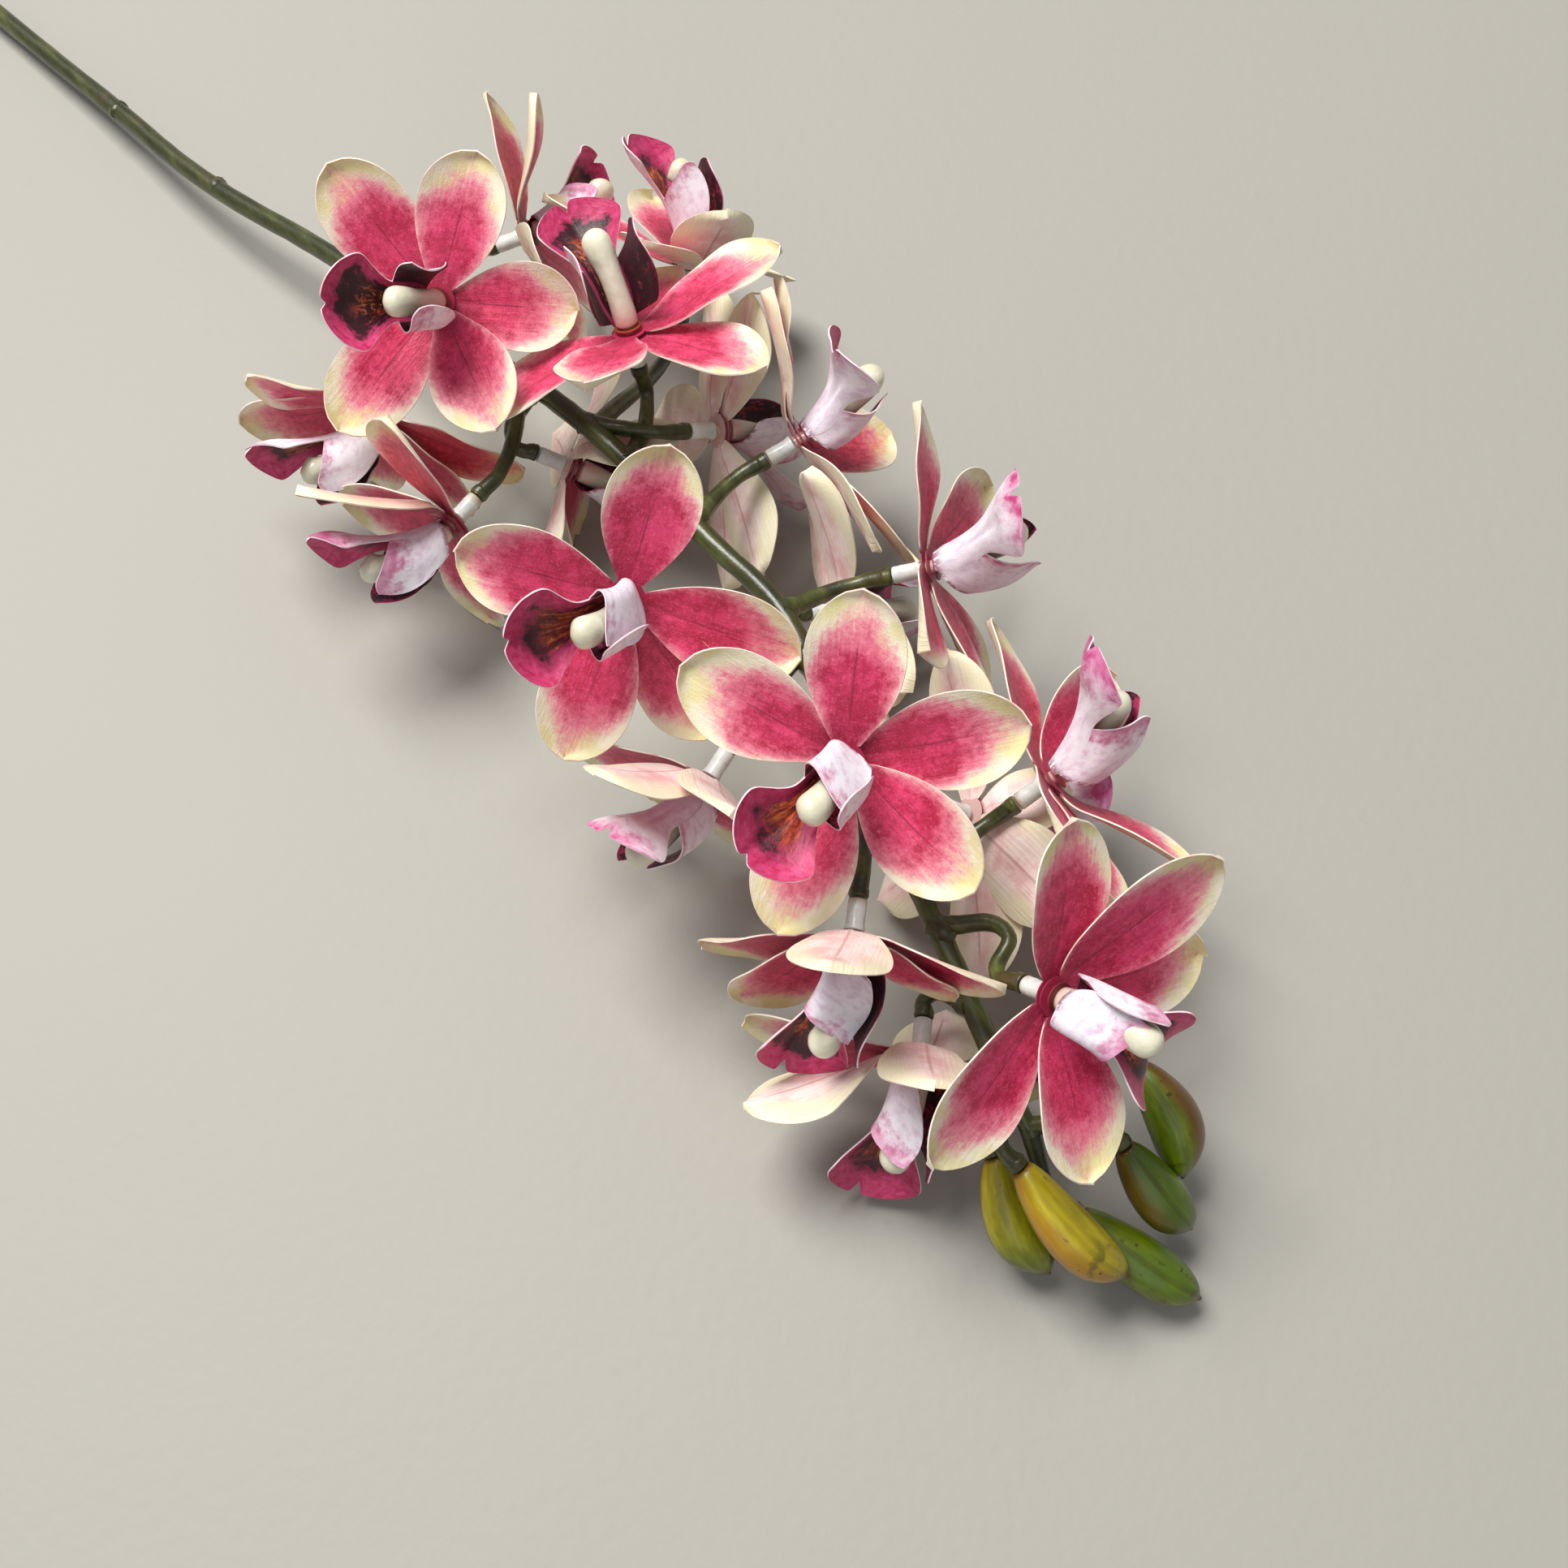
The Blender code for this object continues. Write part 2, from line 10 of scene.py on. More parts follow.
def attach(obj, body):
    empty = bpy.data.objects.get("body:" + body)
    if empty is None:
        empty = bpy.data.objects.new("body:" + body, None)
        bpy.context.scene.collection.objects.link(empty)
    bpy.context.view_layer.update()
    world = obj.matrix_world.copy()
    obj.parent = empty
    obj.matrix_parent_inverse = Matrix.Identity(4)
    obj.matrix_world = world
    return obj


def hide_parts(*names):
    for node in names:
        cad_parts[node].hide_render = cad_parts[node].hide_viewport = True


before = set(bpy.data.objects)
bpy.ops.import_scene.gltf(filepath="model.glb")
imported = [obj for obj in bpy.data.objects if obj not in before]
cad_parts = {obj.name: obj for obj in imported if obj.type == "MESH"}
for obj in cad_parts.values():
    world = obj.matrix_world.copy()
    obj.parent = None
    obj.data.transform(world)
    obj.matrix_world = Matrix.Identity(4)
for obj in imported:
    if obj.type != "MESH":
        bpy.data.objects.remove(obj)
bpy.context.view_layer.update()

# The stem and its flower stalks are one moulding of green plastic. Each stalk grows from a swollen
# node and ends in a socket for a bloom or a bud, and the bare stem has the scars of its leaves. It is
# moulded in two halves and brushed with a darker green.
MM = 0.001
# The place on the table that the camera looks at. Points below are millimetres from it.
TABLE_POINT = Vector((185.025, -6.823, -0.072)) * MM
STEM_RADIUS = 2.4 * MM
# The part that carries the blooms is thinner, from this place on and most of all at its end.
RACHIS_START = -150
RACHIS_RADIUS = 2.3 * MM
RACHIS_TAPER = 0.7
STALK_RADIUS = 1.55 * MM
STALK_ROOT = 2.1 * MM
SOCKET_RADIUS = 1.85 * MM
# A stalk ends straight, over this share of its reach and at most this far.
STRAIGHT_SHARE = 0.35
STRAIGHT_END = 8 * MM
# Height above the hub at which the collar ends, and the gap between it and the stalk.
COLLAR_END = -7.2 * MM
GAP = 0.35 * MM
# Middle line of the stem, from its cut end to the last bud.
STEM_LINE = (
    (-510, -64, 2.6), (-450, -54, 2.8), (-385, -43, 3.2), (-315, -32, 5), (-260, -24, 9),
    (-222, -19, 13), (-173, -8, 21), (-126, -1, 31), (-93, 5, 38), (-65, 8, 41), (-39, 10, 41),
    (-17, 12, 40), (-3, 9, 40), (23, 2, 38), (48, -3, 36), (56, -5, 35), (73, -9, 31),
    (89, -13, 27), (98, -14, 24),
)
# Leaf scars: place along the stem, and the side that they stand out to in degrees.
STEM_SCARS = ((-470, 200), (-385, 20), (-260, 200), (-216, 190))
# Swellings, as distance and radius in millimetres: a leaf scar, the node that a stalk grows from, the
# socket of a bloom and the socket of a bud.
SCAR = ((-1.2, 2.6), (1.6, 2.1), (2.9, 1.1))
NODE = ((0, 2.7), (3.2, 2.2), (4.6, 1.3))
BLOOM_SOCKET = ((-2.6, 1.5), (-1.6, 1.95), (-0.4, 2.0), (0, 1.7))
BUD_SOCKET = ((-3.0, 1.5), (-1.9, 2.15), (-0.6, 2.0))
# A bud's stalk: how far before the bud it leaves the stem, the last place where one does, how far from
# the bud it turns straight and where it ends, and its radius at each of these.
BUD_STALK_BACK = 12
BUD_STALK_LAST = 96
BUD_STALK_TURN = 6 * MM
BUD_STALK_END = 0.6 * MM
BUD_STALK_RADII = (1.9 * MM, 1.5 * MM, 1.8 * MM)
# Unevenness of the moulded skin: how fine it is, and how deep in millimetres.
SKIN_WAVES = ((330, 0.16), (900, 0.07))
# Hub; azimuth and elevation that the bloom faces; direction of its lip; outer and inner tepals as
# (direction, length, lean); place along the stem where its stalk leaves; and a place that it passes.
BLOOMS = {
    "a": ((-115, -7, 58), -35, 50, 180, ((355, 27, 2), (125, 32, 16), (230, 32, 18)),
          ((70, 29, 12), (295, 29, 20)), -118),
    "b": ((-86, 23, 53), 170, 65, 275, ((125, 31, -5), (355, 35, 3), (240, 31, 20)),
          ((170, 34, 22), (55, 30, 16)), -66),
    "g": ((-28, -18, 60), -40, 40, 185, ((75, 29, 5), (165, 31, 8), (305, 30, 8)),
          ((345, 33, 12), (250, 31, 20)), -45),
    "h": ((27, -6, 62), -45, 45, 220, ((20, 32, 8), (155, 32, 6), (255, 32, 28)),
          ((90, 30, 5), (325, 31, 22)), -3),
    "p": ((84, -2, 52), 10, 40, 287, ((55, 31, 12), (190, 35, 5), (330, 31, 12)),
          ((10, 36, 32), (240, 32, 20)), 56, (67, 3, 41)),
    "i": ((-5, 41, 44), 55, 20, 90, ((30, 31, 14), (150, 31, 8), (240, 31, 12)),
          ((330, 31, 26), (210, 31, 26)), -17),
    "j": ((48, 29, 44), 80, 30, 55, ((0, 33, 16), (160, 31, 6), (125, 31, 8)),
          ((310, 31, 24), (200, 31, 26)), 45),
    "k": ((-47, 39, 44), 80, 15, 80, ((20, 33, 15), (175, 31, 4), (280, 31, 50)),
          ((35, 29, 45), (205, 34, 20)), -45),
    "n": ((51, -22, 45), -45, -10, 237, ((210, 31, 8), (5, 27, 10), (95, 30, 30)),
          ((230, 31, 24), (335, 31, 40)), 23),
    "f": ((-81, -29, 34), -75, -5, 155, ((105, 31, 5), (200, 29, 10), (240, 27, 12)),
          ((130, 33, 45), (280, 31, 12)), -102),
    "l": ((-66, 31, 34), 75, -25, 250, ((20, 31, 20), (315, 31, 10), (198, 31, 8)),
          ((65, 28, 45), (228, 33, 12)), -83),
    "m": ((5, -23, 38), -70, -10, 110, ((190, 31, 20), (60, 27, 22), (285, 29, 8)),
          ((110, 31, 50), (240, 29, 12)), -7),
    "c": ((-107, 53, 36), 125, 55, 355, ((15, 34, 32), (240, 31, -8), (125, 24, 55)),
          ((305, 31, 15), (80, 24, 60)), -79),
    "e": ((-116, -26, 32), -65, -5, 160, ((185, 31, 36), (350, 31, -8), (250, 29, 10)),
          ((140, 28, 45), (310, 28, 5)), -126),
    "o": ((72, -21, 23.5), -45, 4, 245, ((85, 31, 42), (195, 34, 5), (285, 25, -45)),
          ((176, 33, 32), (338, 29, 10)), 72),
    "d": ((-139, 28, 34), 60, 20, 355, ((30, 31, 5), (280, 31, 10), (160, 24, 30)),
          ((65, 31, 38), (215, 27, 10)), -131),
    "q": ((40, 17, 30), 55, -40, 55, ((15, 31, 15), (145, 29, 15), (255, 28, 10)),
          ((85, 27, 50), (190, 31, 15)), 39),
    "r": ((-16, 27, 26), 70, -22, 300, ((45, 29, -10), (160, 26, 10), (275, 24, 20)),
          ((350, 28, 15), (210, 29, 10)), -9),
    "t": ((-82, 1, 28), 45, -26, 275, ((210, 31, 5), (315, 29, 5), (65, 28, 50)),
          ((270, 26, 30), (0, 28, 25)), -99),
}
# Foot and tip of each bud.
BUDS = (
    ((96, -21.5, 20), (118, -26, 7)), ((102, -21, 28), (129, -17, 15)), ((114, -14, 13), (140, -5, 6)),
    ((110, -1, 22), (129, 1, 11)), ((100, 11, 25), (121, 8, 14)),
)


def at(point):
    """Place in the frame of a point in millimetres."""
    return TABLE_POINT + Vector(point) * MM


def stem_point(x):
    """Point of the stem's middle line at a place along it."""
    for a, b in zip(STEM_LINE, STEM_LINE[1:]):
        if a[0] <= x <= b[0]:
            return at(a).lerp(at(b), (x - a[0]) / (b[0] - a[0]))
    return at(STEM_LINE[-1])


def bloom_matrix(hub, azimuth, elevation):
    """Bloom's own axes: X level, Y the way up, Z the way it faces."""
    a, e = math.radians(azimuth), math.radians(elevation)
    face = Vector((math.cos(e) * math.cos(a), math.cos(e) * math.sin(a), math.sin(e)))
    level = Vector((-math.sin(a), math.cos(a), 0))
    turn = Matrix((level, face.cross(level), face)).transposed()
    return Matrix.Translation(at(hub)) @ turn.to_4x4()


def rod(line, radii):
    """Mesh of a round rod on an even curve through points, with a radius at each."""
    data = bpy.data.curves.new("rod", "CURVE")
    data.dimensions = "3D"
    data.bevel_depth = 1.0
    data.bevel_resolution = 5
    data.use_fill_caps = True
    data.resolution_u = 10
    points = data.splines.new("BEZIER").bezier_points
    points.add(len(line) - 1)
    for point, place, radius in zip(points, line, radii):
        point.co = place
        point.radius = radius
        point.handle_left_type = point.handle_right_type = "AUTO"
    curve = bpy.data.objects.new("rod", data)
    bpy.context.scene.collection.objects.link(curve)
    bpy.context.view_layer.update()
    mesh = bpy.data.meshes.new_from_object(curve.evaluated_get(bpy.context.evaluated_depsgraph_get()))
    bpy.data.objects.remove(curve)
    return mesh


def swelling(foot, way, stations):
    """A short rod from stations of distance along a direction and radius, in millimetres."""
    return rod([foot + way * reach * MM for reach, radius in stations],
               [radius * MM for reach, radius in stations])


def stem_rods():
    """The stem's line, its leaf scars, and a stalk to each bloom and bud."""
    line = [at(p) for p in STEM_LINE]
    radii = [STEM_RADIUS if p[0] < RACHIS_START else RACHIS_RADIUS for p in STEM_LINE]
    radii[-1] = RACHIS_TAPER * RACHIS_RADIUS
    rods = [rod(line, radii)]
    for x, side in STEM_SCARS:
        way = Vector((0.35, math.sin(math.radians(side)), 0.3)).normalized()
        rods.append(swelling(stem_point(x), way, SCAR))
    for hub, azimuth, elevation, lip, outer, inner, root_x, *via in BLOOMS.values():
        matrix = bloom_matrix(hub, azimuth, elevation)
        face = matrix.to_3x3() @ Vector((0, 0, 1))
        root, end = stem_point(root_x), matrix @ Vector((0, 0, COLLAR_END - GAP))
        near = end - face * min(STRAIGHT_SHARE * (end - root).length, STRAIGHT_END)
        rods.append(rod([root, *(at(v) for v in via), near, end],
                        [STALK_ROOT, *(STALK_RADIUS for v in via), STALK_RADIUS, SOCKET_RADIUS]))
        rods.append(swelling(end, face, BLOOM_SOCKET))
        rods.append(swelling(root, (near - root).normalized(), NODE))
    for foot, tip in BUDS:
        end = at(foot)
        way = (at(tip) - end).normalized()
        root = stem_point(min(foot[0] - BUD_STALK_BACK, BUD_STALK_LAST))
        rods.append(rod([root, end - way * BUD_STALK_TURN, end - way * BUD_STALK_END], BUD_STALK_RADII))
        rods.append(swelling(end, way, BUD_SOCKET))
    return rods


def moulded(name, rods):
    """One piece from rods that run into each other, its skin a little uneven."""
    bm = bmesh.new()
    for mesh in rods:
        bm.from_mesh(mesh)
        bpy.data.meshes.remove(mesh)
    for v in bm.verts:
        v.co += v.normal * MM * sum(noise.noise(v.co * fine) * deep for fine, deep in SKIN_WAVES)
    mesh = bpy.data.meshes.new(name)
    bm.to_mesh(mesh)
    bm.free()
    mesh.shade_smooth()
    ob = bpy.data.objects.new(name, mesh)
    bpy.context.scene.collection.objects.link(ob)
    return ob


class Value:
    """A socket of a finish, so that Python expressions add its Math nodes."""

    def __init__(self, finish, socket):
        self.finish, self.socket = finish, socket

    def math(self, operation, *values):
        return self.finish.node("Math", {"operation": operation}, dict(enumerate(values)))

    def __add__(self, other):
        return self.math("ADD", self, other)

    def __radd__(self, other):
        return self.math("ADD", other, self)

    def __sub__(self, other):
        return self.math("SUBTRACT", self, other)

    def __rsub__(self, other):
        return self.math("SUBTRACT", other, self)

    def __mul__(self, other):
        return self.math("MULTIPLY", self, other)

    def __rmul__(self, other):
        return self.math("MULTIPLY", other, self)

    def __pow__(self, other):
        return self.math("POWER", self, other)

    def __abs__(self):
        return self.math("ABSOLUTE", self)


class Finish:
    """A material in the making, worn by the pieces of one kind."""

    def __init__(self, name):
        self.material = bpy.data.materials.new(name)
        self.material.use_nodes = True
        self.tree = self.material.node_tree
        self.shader = self.tree.nodes["Principled BSDF"]

    def node(self, kind, settings, sockets, output=0):
        """Any node: its type, its settings, and values or links for its sockets."""
        node = self.tree.nodes.new("ShaderNode" + kind)
        for name, value in settings.items():
            if name == "stops":
                self.stops(node.color_ramp, value)
            else:
                setattr(node, name, value)
        for name, value in sockets.items():
            if isinstance(value, Value):
                self.tree.links.new(value.socket, node.inputs[name])
            else:
                node.inputs[name].default_value = value
        return Value(self, node.outputs[output])

    def stops(self, ramp, stops):
        """Colour stops of a ramp, in order."""
        ramp.elements[0].position, ramp.elements[1].position = stops[0][0], stops[-1][0]
        for place, colour in stops[1:-1]:
            ramp.elements.new(place)
        for element, (place, colour) in zip(ramp.elements, stops):
            element.color = colour

    def ramp(self, value, stops):
        return self.node("ValToRGB", {"stops": stops}, {"Fac": value})

    def noise(self, where, scale, detail=2.0, rough=0.5):
        return self.node("TexNoise", {}, {"Vector": where, "Scale": scale, "Detail": detail,
                                          "Roughness": rough})

    def step(self, value, low, high):
        """0 below low, 1 above high, smooth between; falls where high is the lower."""
        return self.node("MapRange", {"interpolation_type": "SMOOTHSTEP"},
                         {"Value": value, "From Min": low, "From Max": high})

    def mix(self, low, high, share):
        """Colour between two. The Mix node's colour sockets are 6 and 7, and 2 among its outputs."""
        return self.node("Mix", {"data_type": "RGBA"}, {0: share, 6: low, 7: high}, 2)

    def stretch(self, where, scale):
        """Coordinates stretched by a scale along each axis."""
        return self.node("VectorMath", {"operation": "MULTIPLY"}, {0: where, 1: scale})

    def parts(self, where):
        """The three numbers of a vector."""
        split = self.node("SeparateXYZ", {}, {0: where})
        return [Value(self, socket) for socket in split.socket.node.outputs]

    def vector(self, x, y, z):
        return self.node("CombineXYZ", {}, {0: x, 1: y, 2: z})

    def carried(self, name):
        """A vector that the mesh carries at each point."""
        return self.node("Attribute", {"attribute_name": name}, {}, "Vector")

    def relief(self, height, distance):
        """Bump from a height of 0 to 1 over a distance in metres."""
        return self.node("Bump", {}, {"Height": height, "Distance": distance, "Strength": 1.0})

    def wear(self, **sockets):
        """Sets or links the shader's sockets, named with _ for a space."""
        for name, value in sockets.items():
            socket = self.shader.inputs[name.replace("_", " ")]
            if isinstance(value, Value):
                self.tree.links.new(value.socket, socket)
            else:
                socket.default_value = value
        return self.material


def colour(red, green, blue):
    """Shader colour of a paint given as it looks on a screen, 0 to 255."""
    return tuple((c / 255 / 12.92 if c < 10 else ((c / 255 + 0.055) / 1.055) ** 2.4)
                 for c in (red, green, blue)) + (1.0,)


def stem_finish():
    paint = Finish("stem_plastic")
    where = paint.node("TexCoord", {}, {}, "Object")
    along = paint.stretch(where, (60, 260, 260))
    streak = paint.noise(along, 1.0, 4.0, 0.6)
    patch = paint.noise(where, 95.0, 3.0)
    green = paint.ramp(streak, ((0.3, colour(32, 33, 12)), (0.5, colour(54, 58, 20)),
                                (0.72, colour(88, 94, 38))))
    brown = paint.mix(green, colour(84, 64, 32), paint.step(patch, 0.56, 0.72) * 0.6)
    speck = paint.step(paint.noise(where, 900.0, 2.0), 0.66, 0.74)
    base = paint.mix(brown, colour(34, 34, 18), speck * 0.5)
    fine = paint.noise(where, 1500.0, 3.0)
    return paint.wear(Base_Color=base, Roughness=0.26 + 0.2 * patch, Specular_IOR_Level=0.6,
                      Coat_Weight=0.25, Coat_Roughness=0.2,
                      Normal=paint.relief(streak * 0.7 + fine * 0.3, 0.00025))


def piece(ob, replaced, slot, *finishes):
    """Gives a finished piece its materials, in the slots its faces name, fixes it to the root body and
    hides the CAD part that it stands for.
    """
    materials = ob.data.materials
    for i, finish in enumerate(finishes):
        if i < len(materials):
            materials[i] = finish
        else:
            materials.append(finish)
    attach(ob, "root")
    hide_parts(replaced)


stem = moulded("flower_stem", stem_rods())
piece(stem, "stem", "stem_plastic", stem_finish())

# The buds are closed, hollow mouldings, blunt where they sit on their stalks and pointed at the tip,
# Each is brushed yellow, green and brown by hand, and its lower side and one flank are painted darker as
# shade.
BUD_RADIUS = 5.3 * MM
# Share of the length, and of the radius there.
BUD_PROFILE = ((0, 0.4), (0.04, 0.52), (0.15, 0.72), (0.4, 0.97), (0.62, 1.02), (0.78, 0.9), (0.89, 0.64),
               (0.95, 0.36), (0.975, 0.16), (1, 0.08))
# The ridges of the folded tepals, as directions from the belly in radians, and how blunt they are.
BUD_KEELS = (1.5, 3.3, 5.0)
KEEL_WIDTH = 0.05
# Shares of the radius: the height of a ridge, the flat sides, the rest, and the oval of the section.
KEEL_HEIGHT = 0.035
BUD_FLATNESS = 0.035
BUD_FULLNESS = 0.96
BUD_OVAL = (1.02, 0.97)
BUD_RINGS = 44
BUD_SIDES = 36
# Edges of a moulding sharper than this stay crisp.
CRISP_MOULDING = math.radians(65)
# Which way the belly of each bud points, how far it bends that way in mm, and the shift of its tip back.
BUD_BELLIES = (((-0.5, -0.8, 0.1), 1.8, 1.4), ((0.1, -0.9, 0.2), 1.5, 2.4), ((0.1, -1, 0.2), 0.6, 1.0),
               ((0.3, -0.8, 0.1), 0.6, 1.2), ((0.5, 0.8, 0.2), 1.8, 1.4))
# How yellow each bud is, how much orange or brown lies on its belly, and how deep the painted shade on its
# lower side and one flank is, which also darkens the lines on its ridges.
BUD_TONES = ((0.6, 0.1, 0.4), (1.0, 0.7, 0.3), (0.4, 0.3, 0.8), (0.1, 0.9, 1.0), (0.3, 1.0, 0.8))


def between(stations, place):
    """Value at a place along stations of (place, value...), by an even curve through them."""
    i = max(k for k in range(len(stations) - 1) if stations[k][0] <= place)
    a, b = stations[i], stations[i + 1]
    before, after = stations[max(i - 1, 0)], stations[min(i + 2, len(stations) - 1)]
    share = (place - a[0]) / (b[0] - a[0])
    found = []
    for k in range(1, len(a)):
        rise = b[k] - a[k]
        slope_a = (b[k] - before[k]) / (b[0] - before[0]) * (b[0] - a[0]) if i else rise
        slope_b = (after[k] - a[k]) / (after[0] - a[0]) * (b[0] - a[0])
        s2, s3 = share * share, share ** 3
        found.append(a[k] * (2 * s3 - 3 * s2 + 1) + slope_a * (s3 - 2 * s2 + share)
                     + b[k] * (3 * s2 - 2 * s3) + slope_b * (s3 - s2))
    return found[0] if len(found) == 1 else found


def bump_at(t, middle, width):
    """1 at the middle, falling away over a width."""
    return math.exp(-((t - middle) / width) ** 2)


def loft(name, rings, tone=(0, 0, 0)):
    """Closed skin over rings of points; it carries how far along and around each point is."""
    bm = bmesh.new()
    place = bm.verts.layers.float_vector.new("place")
    mood = bm.verts.layers.float_vector.new("mood")
    rows = []
    for i, ring in enumerate(rings):
        row = []
        for k, co in enumerate(ring):
            v = bm.verts.new(co)
            turn = math.tau * k / len(ring)
            v[place] = (i / (len(rings) - 1), math.cos(turn), math.sin(turn))
            v[mood] = tone
            row.append(v)
        rows.append(row)
    for low, high in zip(rows, rows[1:]):
        for k in range(len(low)):
            n = (k + 1) % len(low)
            bm.faces.new((low[k], low[n], high[n], high[k]))
    bm.faces.new(list(reversed(rows[0])))
    bm.faces.new(rows[-1])
    bmesh.ops.recalc_face_normals(bm, faces=bm.faces)
    mesh = bpy.data.meshes.new(name)
    bm.to_mesh(mesh)
    bm.free()
    mesh.shade_smooth()
    mesh.set_sharp_from_angle(angle=CRISP_MOULDING)
    ob = bpy.data.objects.new(name, mesh)
    bpy.context.scene.collection.objects.link(ob)
    return ob


def bud_mesh(number, foot, tip):
    a, b = at(foot), at(tip)
    way = (b - a).normalized()
    belly, bend, shift = BUD_BELLIES[number - 1]
    out = Vector(belly)
    out = (out - way * out.dot(way)).normalized()
    side = way.cross(out)
    rings = []
    for i in range(BUD_RINGS + 1):
        share = i / BUD_RINGS
        swell = math.sin(math.pi * share)
        middle = a.lerp(b, share) + out * MM * (bend * swell - shift * share ** 6)
        radius = between(BUD_PROFILE, share) * BUD_RADIUS
        ring = []
        for k in range(BUD_SIDES):
            turn = math.tau * k / BUD_SIDES
            keels = sum(bump_at(math.cos(turn - keel), 1, KEEL_WIDTH) for keel in BUD_KEELS)
            flat = BUD_FLATNESS * math.cos(3 * (turn - BUD_KEELS[0]))
            reach = radius * (BUD_FULLNESS + flat * swell + KEEL_HEIGHT * keels * swell)
            ring.append(middle + (out * math.cos(turn) * BUD_OVAL[0]
                                  + side * math.sin(turn) * BUD_OVAL[1]) * reach)
        rings.append(ring)
    return loft("bud_%d_skin" % number, rings, BUD_TONES[number - 1])


def bud_finish():
    paint = Finish("bud_plastic")
    along, belly, flank = paint.parts(paint.carried("place"))
    yellow, orange, dark = paint.parts(paint.carried("mood"))
    where = paint.node("TexCoord", {}, {}, "Object")
    up = paint.parts(paint.node("NewGeometry", {}, {}, "Normal"))[2]
    strokes = paint.noise(paint.vector(along * 2.2, belly * 1.5, flank * 1.5 + yellow * 9.0), 1.0, 6.0, 0.6)
    patch = paint.noise(where, 120.0, 4.0)
    green = paint.ramp(strokes, ((0.3, colour(76, 96, 4)), (0.5, colour(104, 124, 6)),
                                 (0.7, colour(134, 150, 16))))
    gold = paint.ramp(strokes, ((0.3, colour(156, 132, 8)), (0.5, colour(182, 160, 12)),
                                (0.7, colour(206, 188, 30))))
    body = paint.mix(green, gold, paint.step(yellow * (1.2 - 0.45 * along) + 0.4 * strokes, 0.55, 0.95))
    rust = paint.step(belly + 1.0 * (patch - 0.5) + 0.2 * along + 0.5 * orange, 0.75, 1.4) * orange
    brown = paint.mix(colour(102, 52, 10), colour(172, 96, 16), paint.step(yellow, 0.5, 0.9))
    body = paint.mix(body, brown, rust * 0.85)
    # Painted shade: darker green where the skin faces down, deeper for a bud whose third tone is higher.
    low = paint.step(up + 0.9 * (strokes - 0.5), 0.35, -0.5) * (0.35 + 0.6 * dark)
    body = paint.mix(body, colour(34, 50, 6), low)
    # Painted shade on one flank, in a darker olive green.
    shade = paint.step(flank * -1.0 + 1.1 * (patch - 0.5), 0.1, 0.9) * dark
    body = paint.mix(body, colour(58, 84, 6), shade * 0.75)
    for keel in BUD_KEELS:
        near = belly * math.cos(keel) + flank * math.sin(keel) + 0.03 * (patch - 0.5)
        body = paint.mix(body, colour(56, 40, 10), paint.step(near, 0.985, 0.999) * dark * 0.5)
    smudge = paint.step(paint.noise(where, 190.0, 4.0), 0.56, 0.68) * paint.step(along, 0.45, 0.8)
    body = paint.mix(body, colour(64, 58, 14), smudge * 0.75)
    tip = paint.step(along + 0.16 * patch, 0.98, 1.06)
    body = paint.mix(body, colour(92, 74, 26), tip * 0.8)
    foot = paint.step(along, 0.03, 0.0)
    body = paint.mix(body, colour(96, 48, 18), foot * 0.7)
    speck = paint.step(paint.noise(where, 560.0, 3.0), 0.62, 0.68) * paint.step(patch, 0.46, 0.6)
    body = paint.mix(body, colour(50, 34, 10), speck * 0.75)
    return paint.wear(Base_Color=body, Roughness=0.24 + 0.2 * patch, Coat_Weight=0.3, Coat_Roughness=0.16,
                      Normal=paint.relief(strokes, 0.00025))


bud_paint = bud_finish()
for number, (foot, tip) in enumerate(BUDS, 1):
    piece(bud_mesh(number, foot, tip), "bud_%d" % number, "bud_plastic", bud_paint)

# The column is a solid ivory moulding that arches forward over the lip and ends in a rounded cap. Its
# shank goes back through the punched hearts of the lip and tepals into the collar.
SHANK_RADIUS = 1.5 * MM
# Heights above the hub in millimetres.
SHANK_RINGS = (-0.7, 1.2, 2.6)
SHANK_TOP = 3.0 * MM
COLUMN_LENGTH = 21 * MM
COLUMN_RADIUS = 2.9 * MM
# Share of the length, and of the radius there.
COLUMN_PROFILE = ((0, 0.86), (0.1, 0.92), (0.3, 0.88), (0.55, 0.9), (0.76, 1.06), (0.87, 1.1), (0.94, 0.92),
                  (0.985, 0.5), (1.0, 0.15))
# Slope at the foot in degrees, how far it arches over, and how much further from the neck on.
COLUMN_SLOPE = 88
COLUMN_ARCH = 36
COLUMN_NOD = 26
COLUMN_NECK = 0.72
# Shares of the radius: the hollow on the lip's side, the nose of the cap, and the height of the section.
COLUMN_HOLLOW = 0.34
COLUMN_NOSE = 0.22
COLUMN_FLATNESS = 0.94
COLUMN_RINGS = 34
COLUMN_SIDES = 24


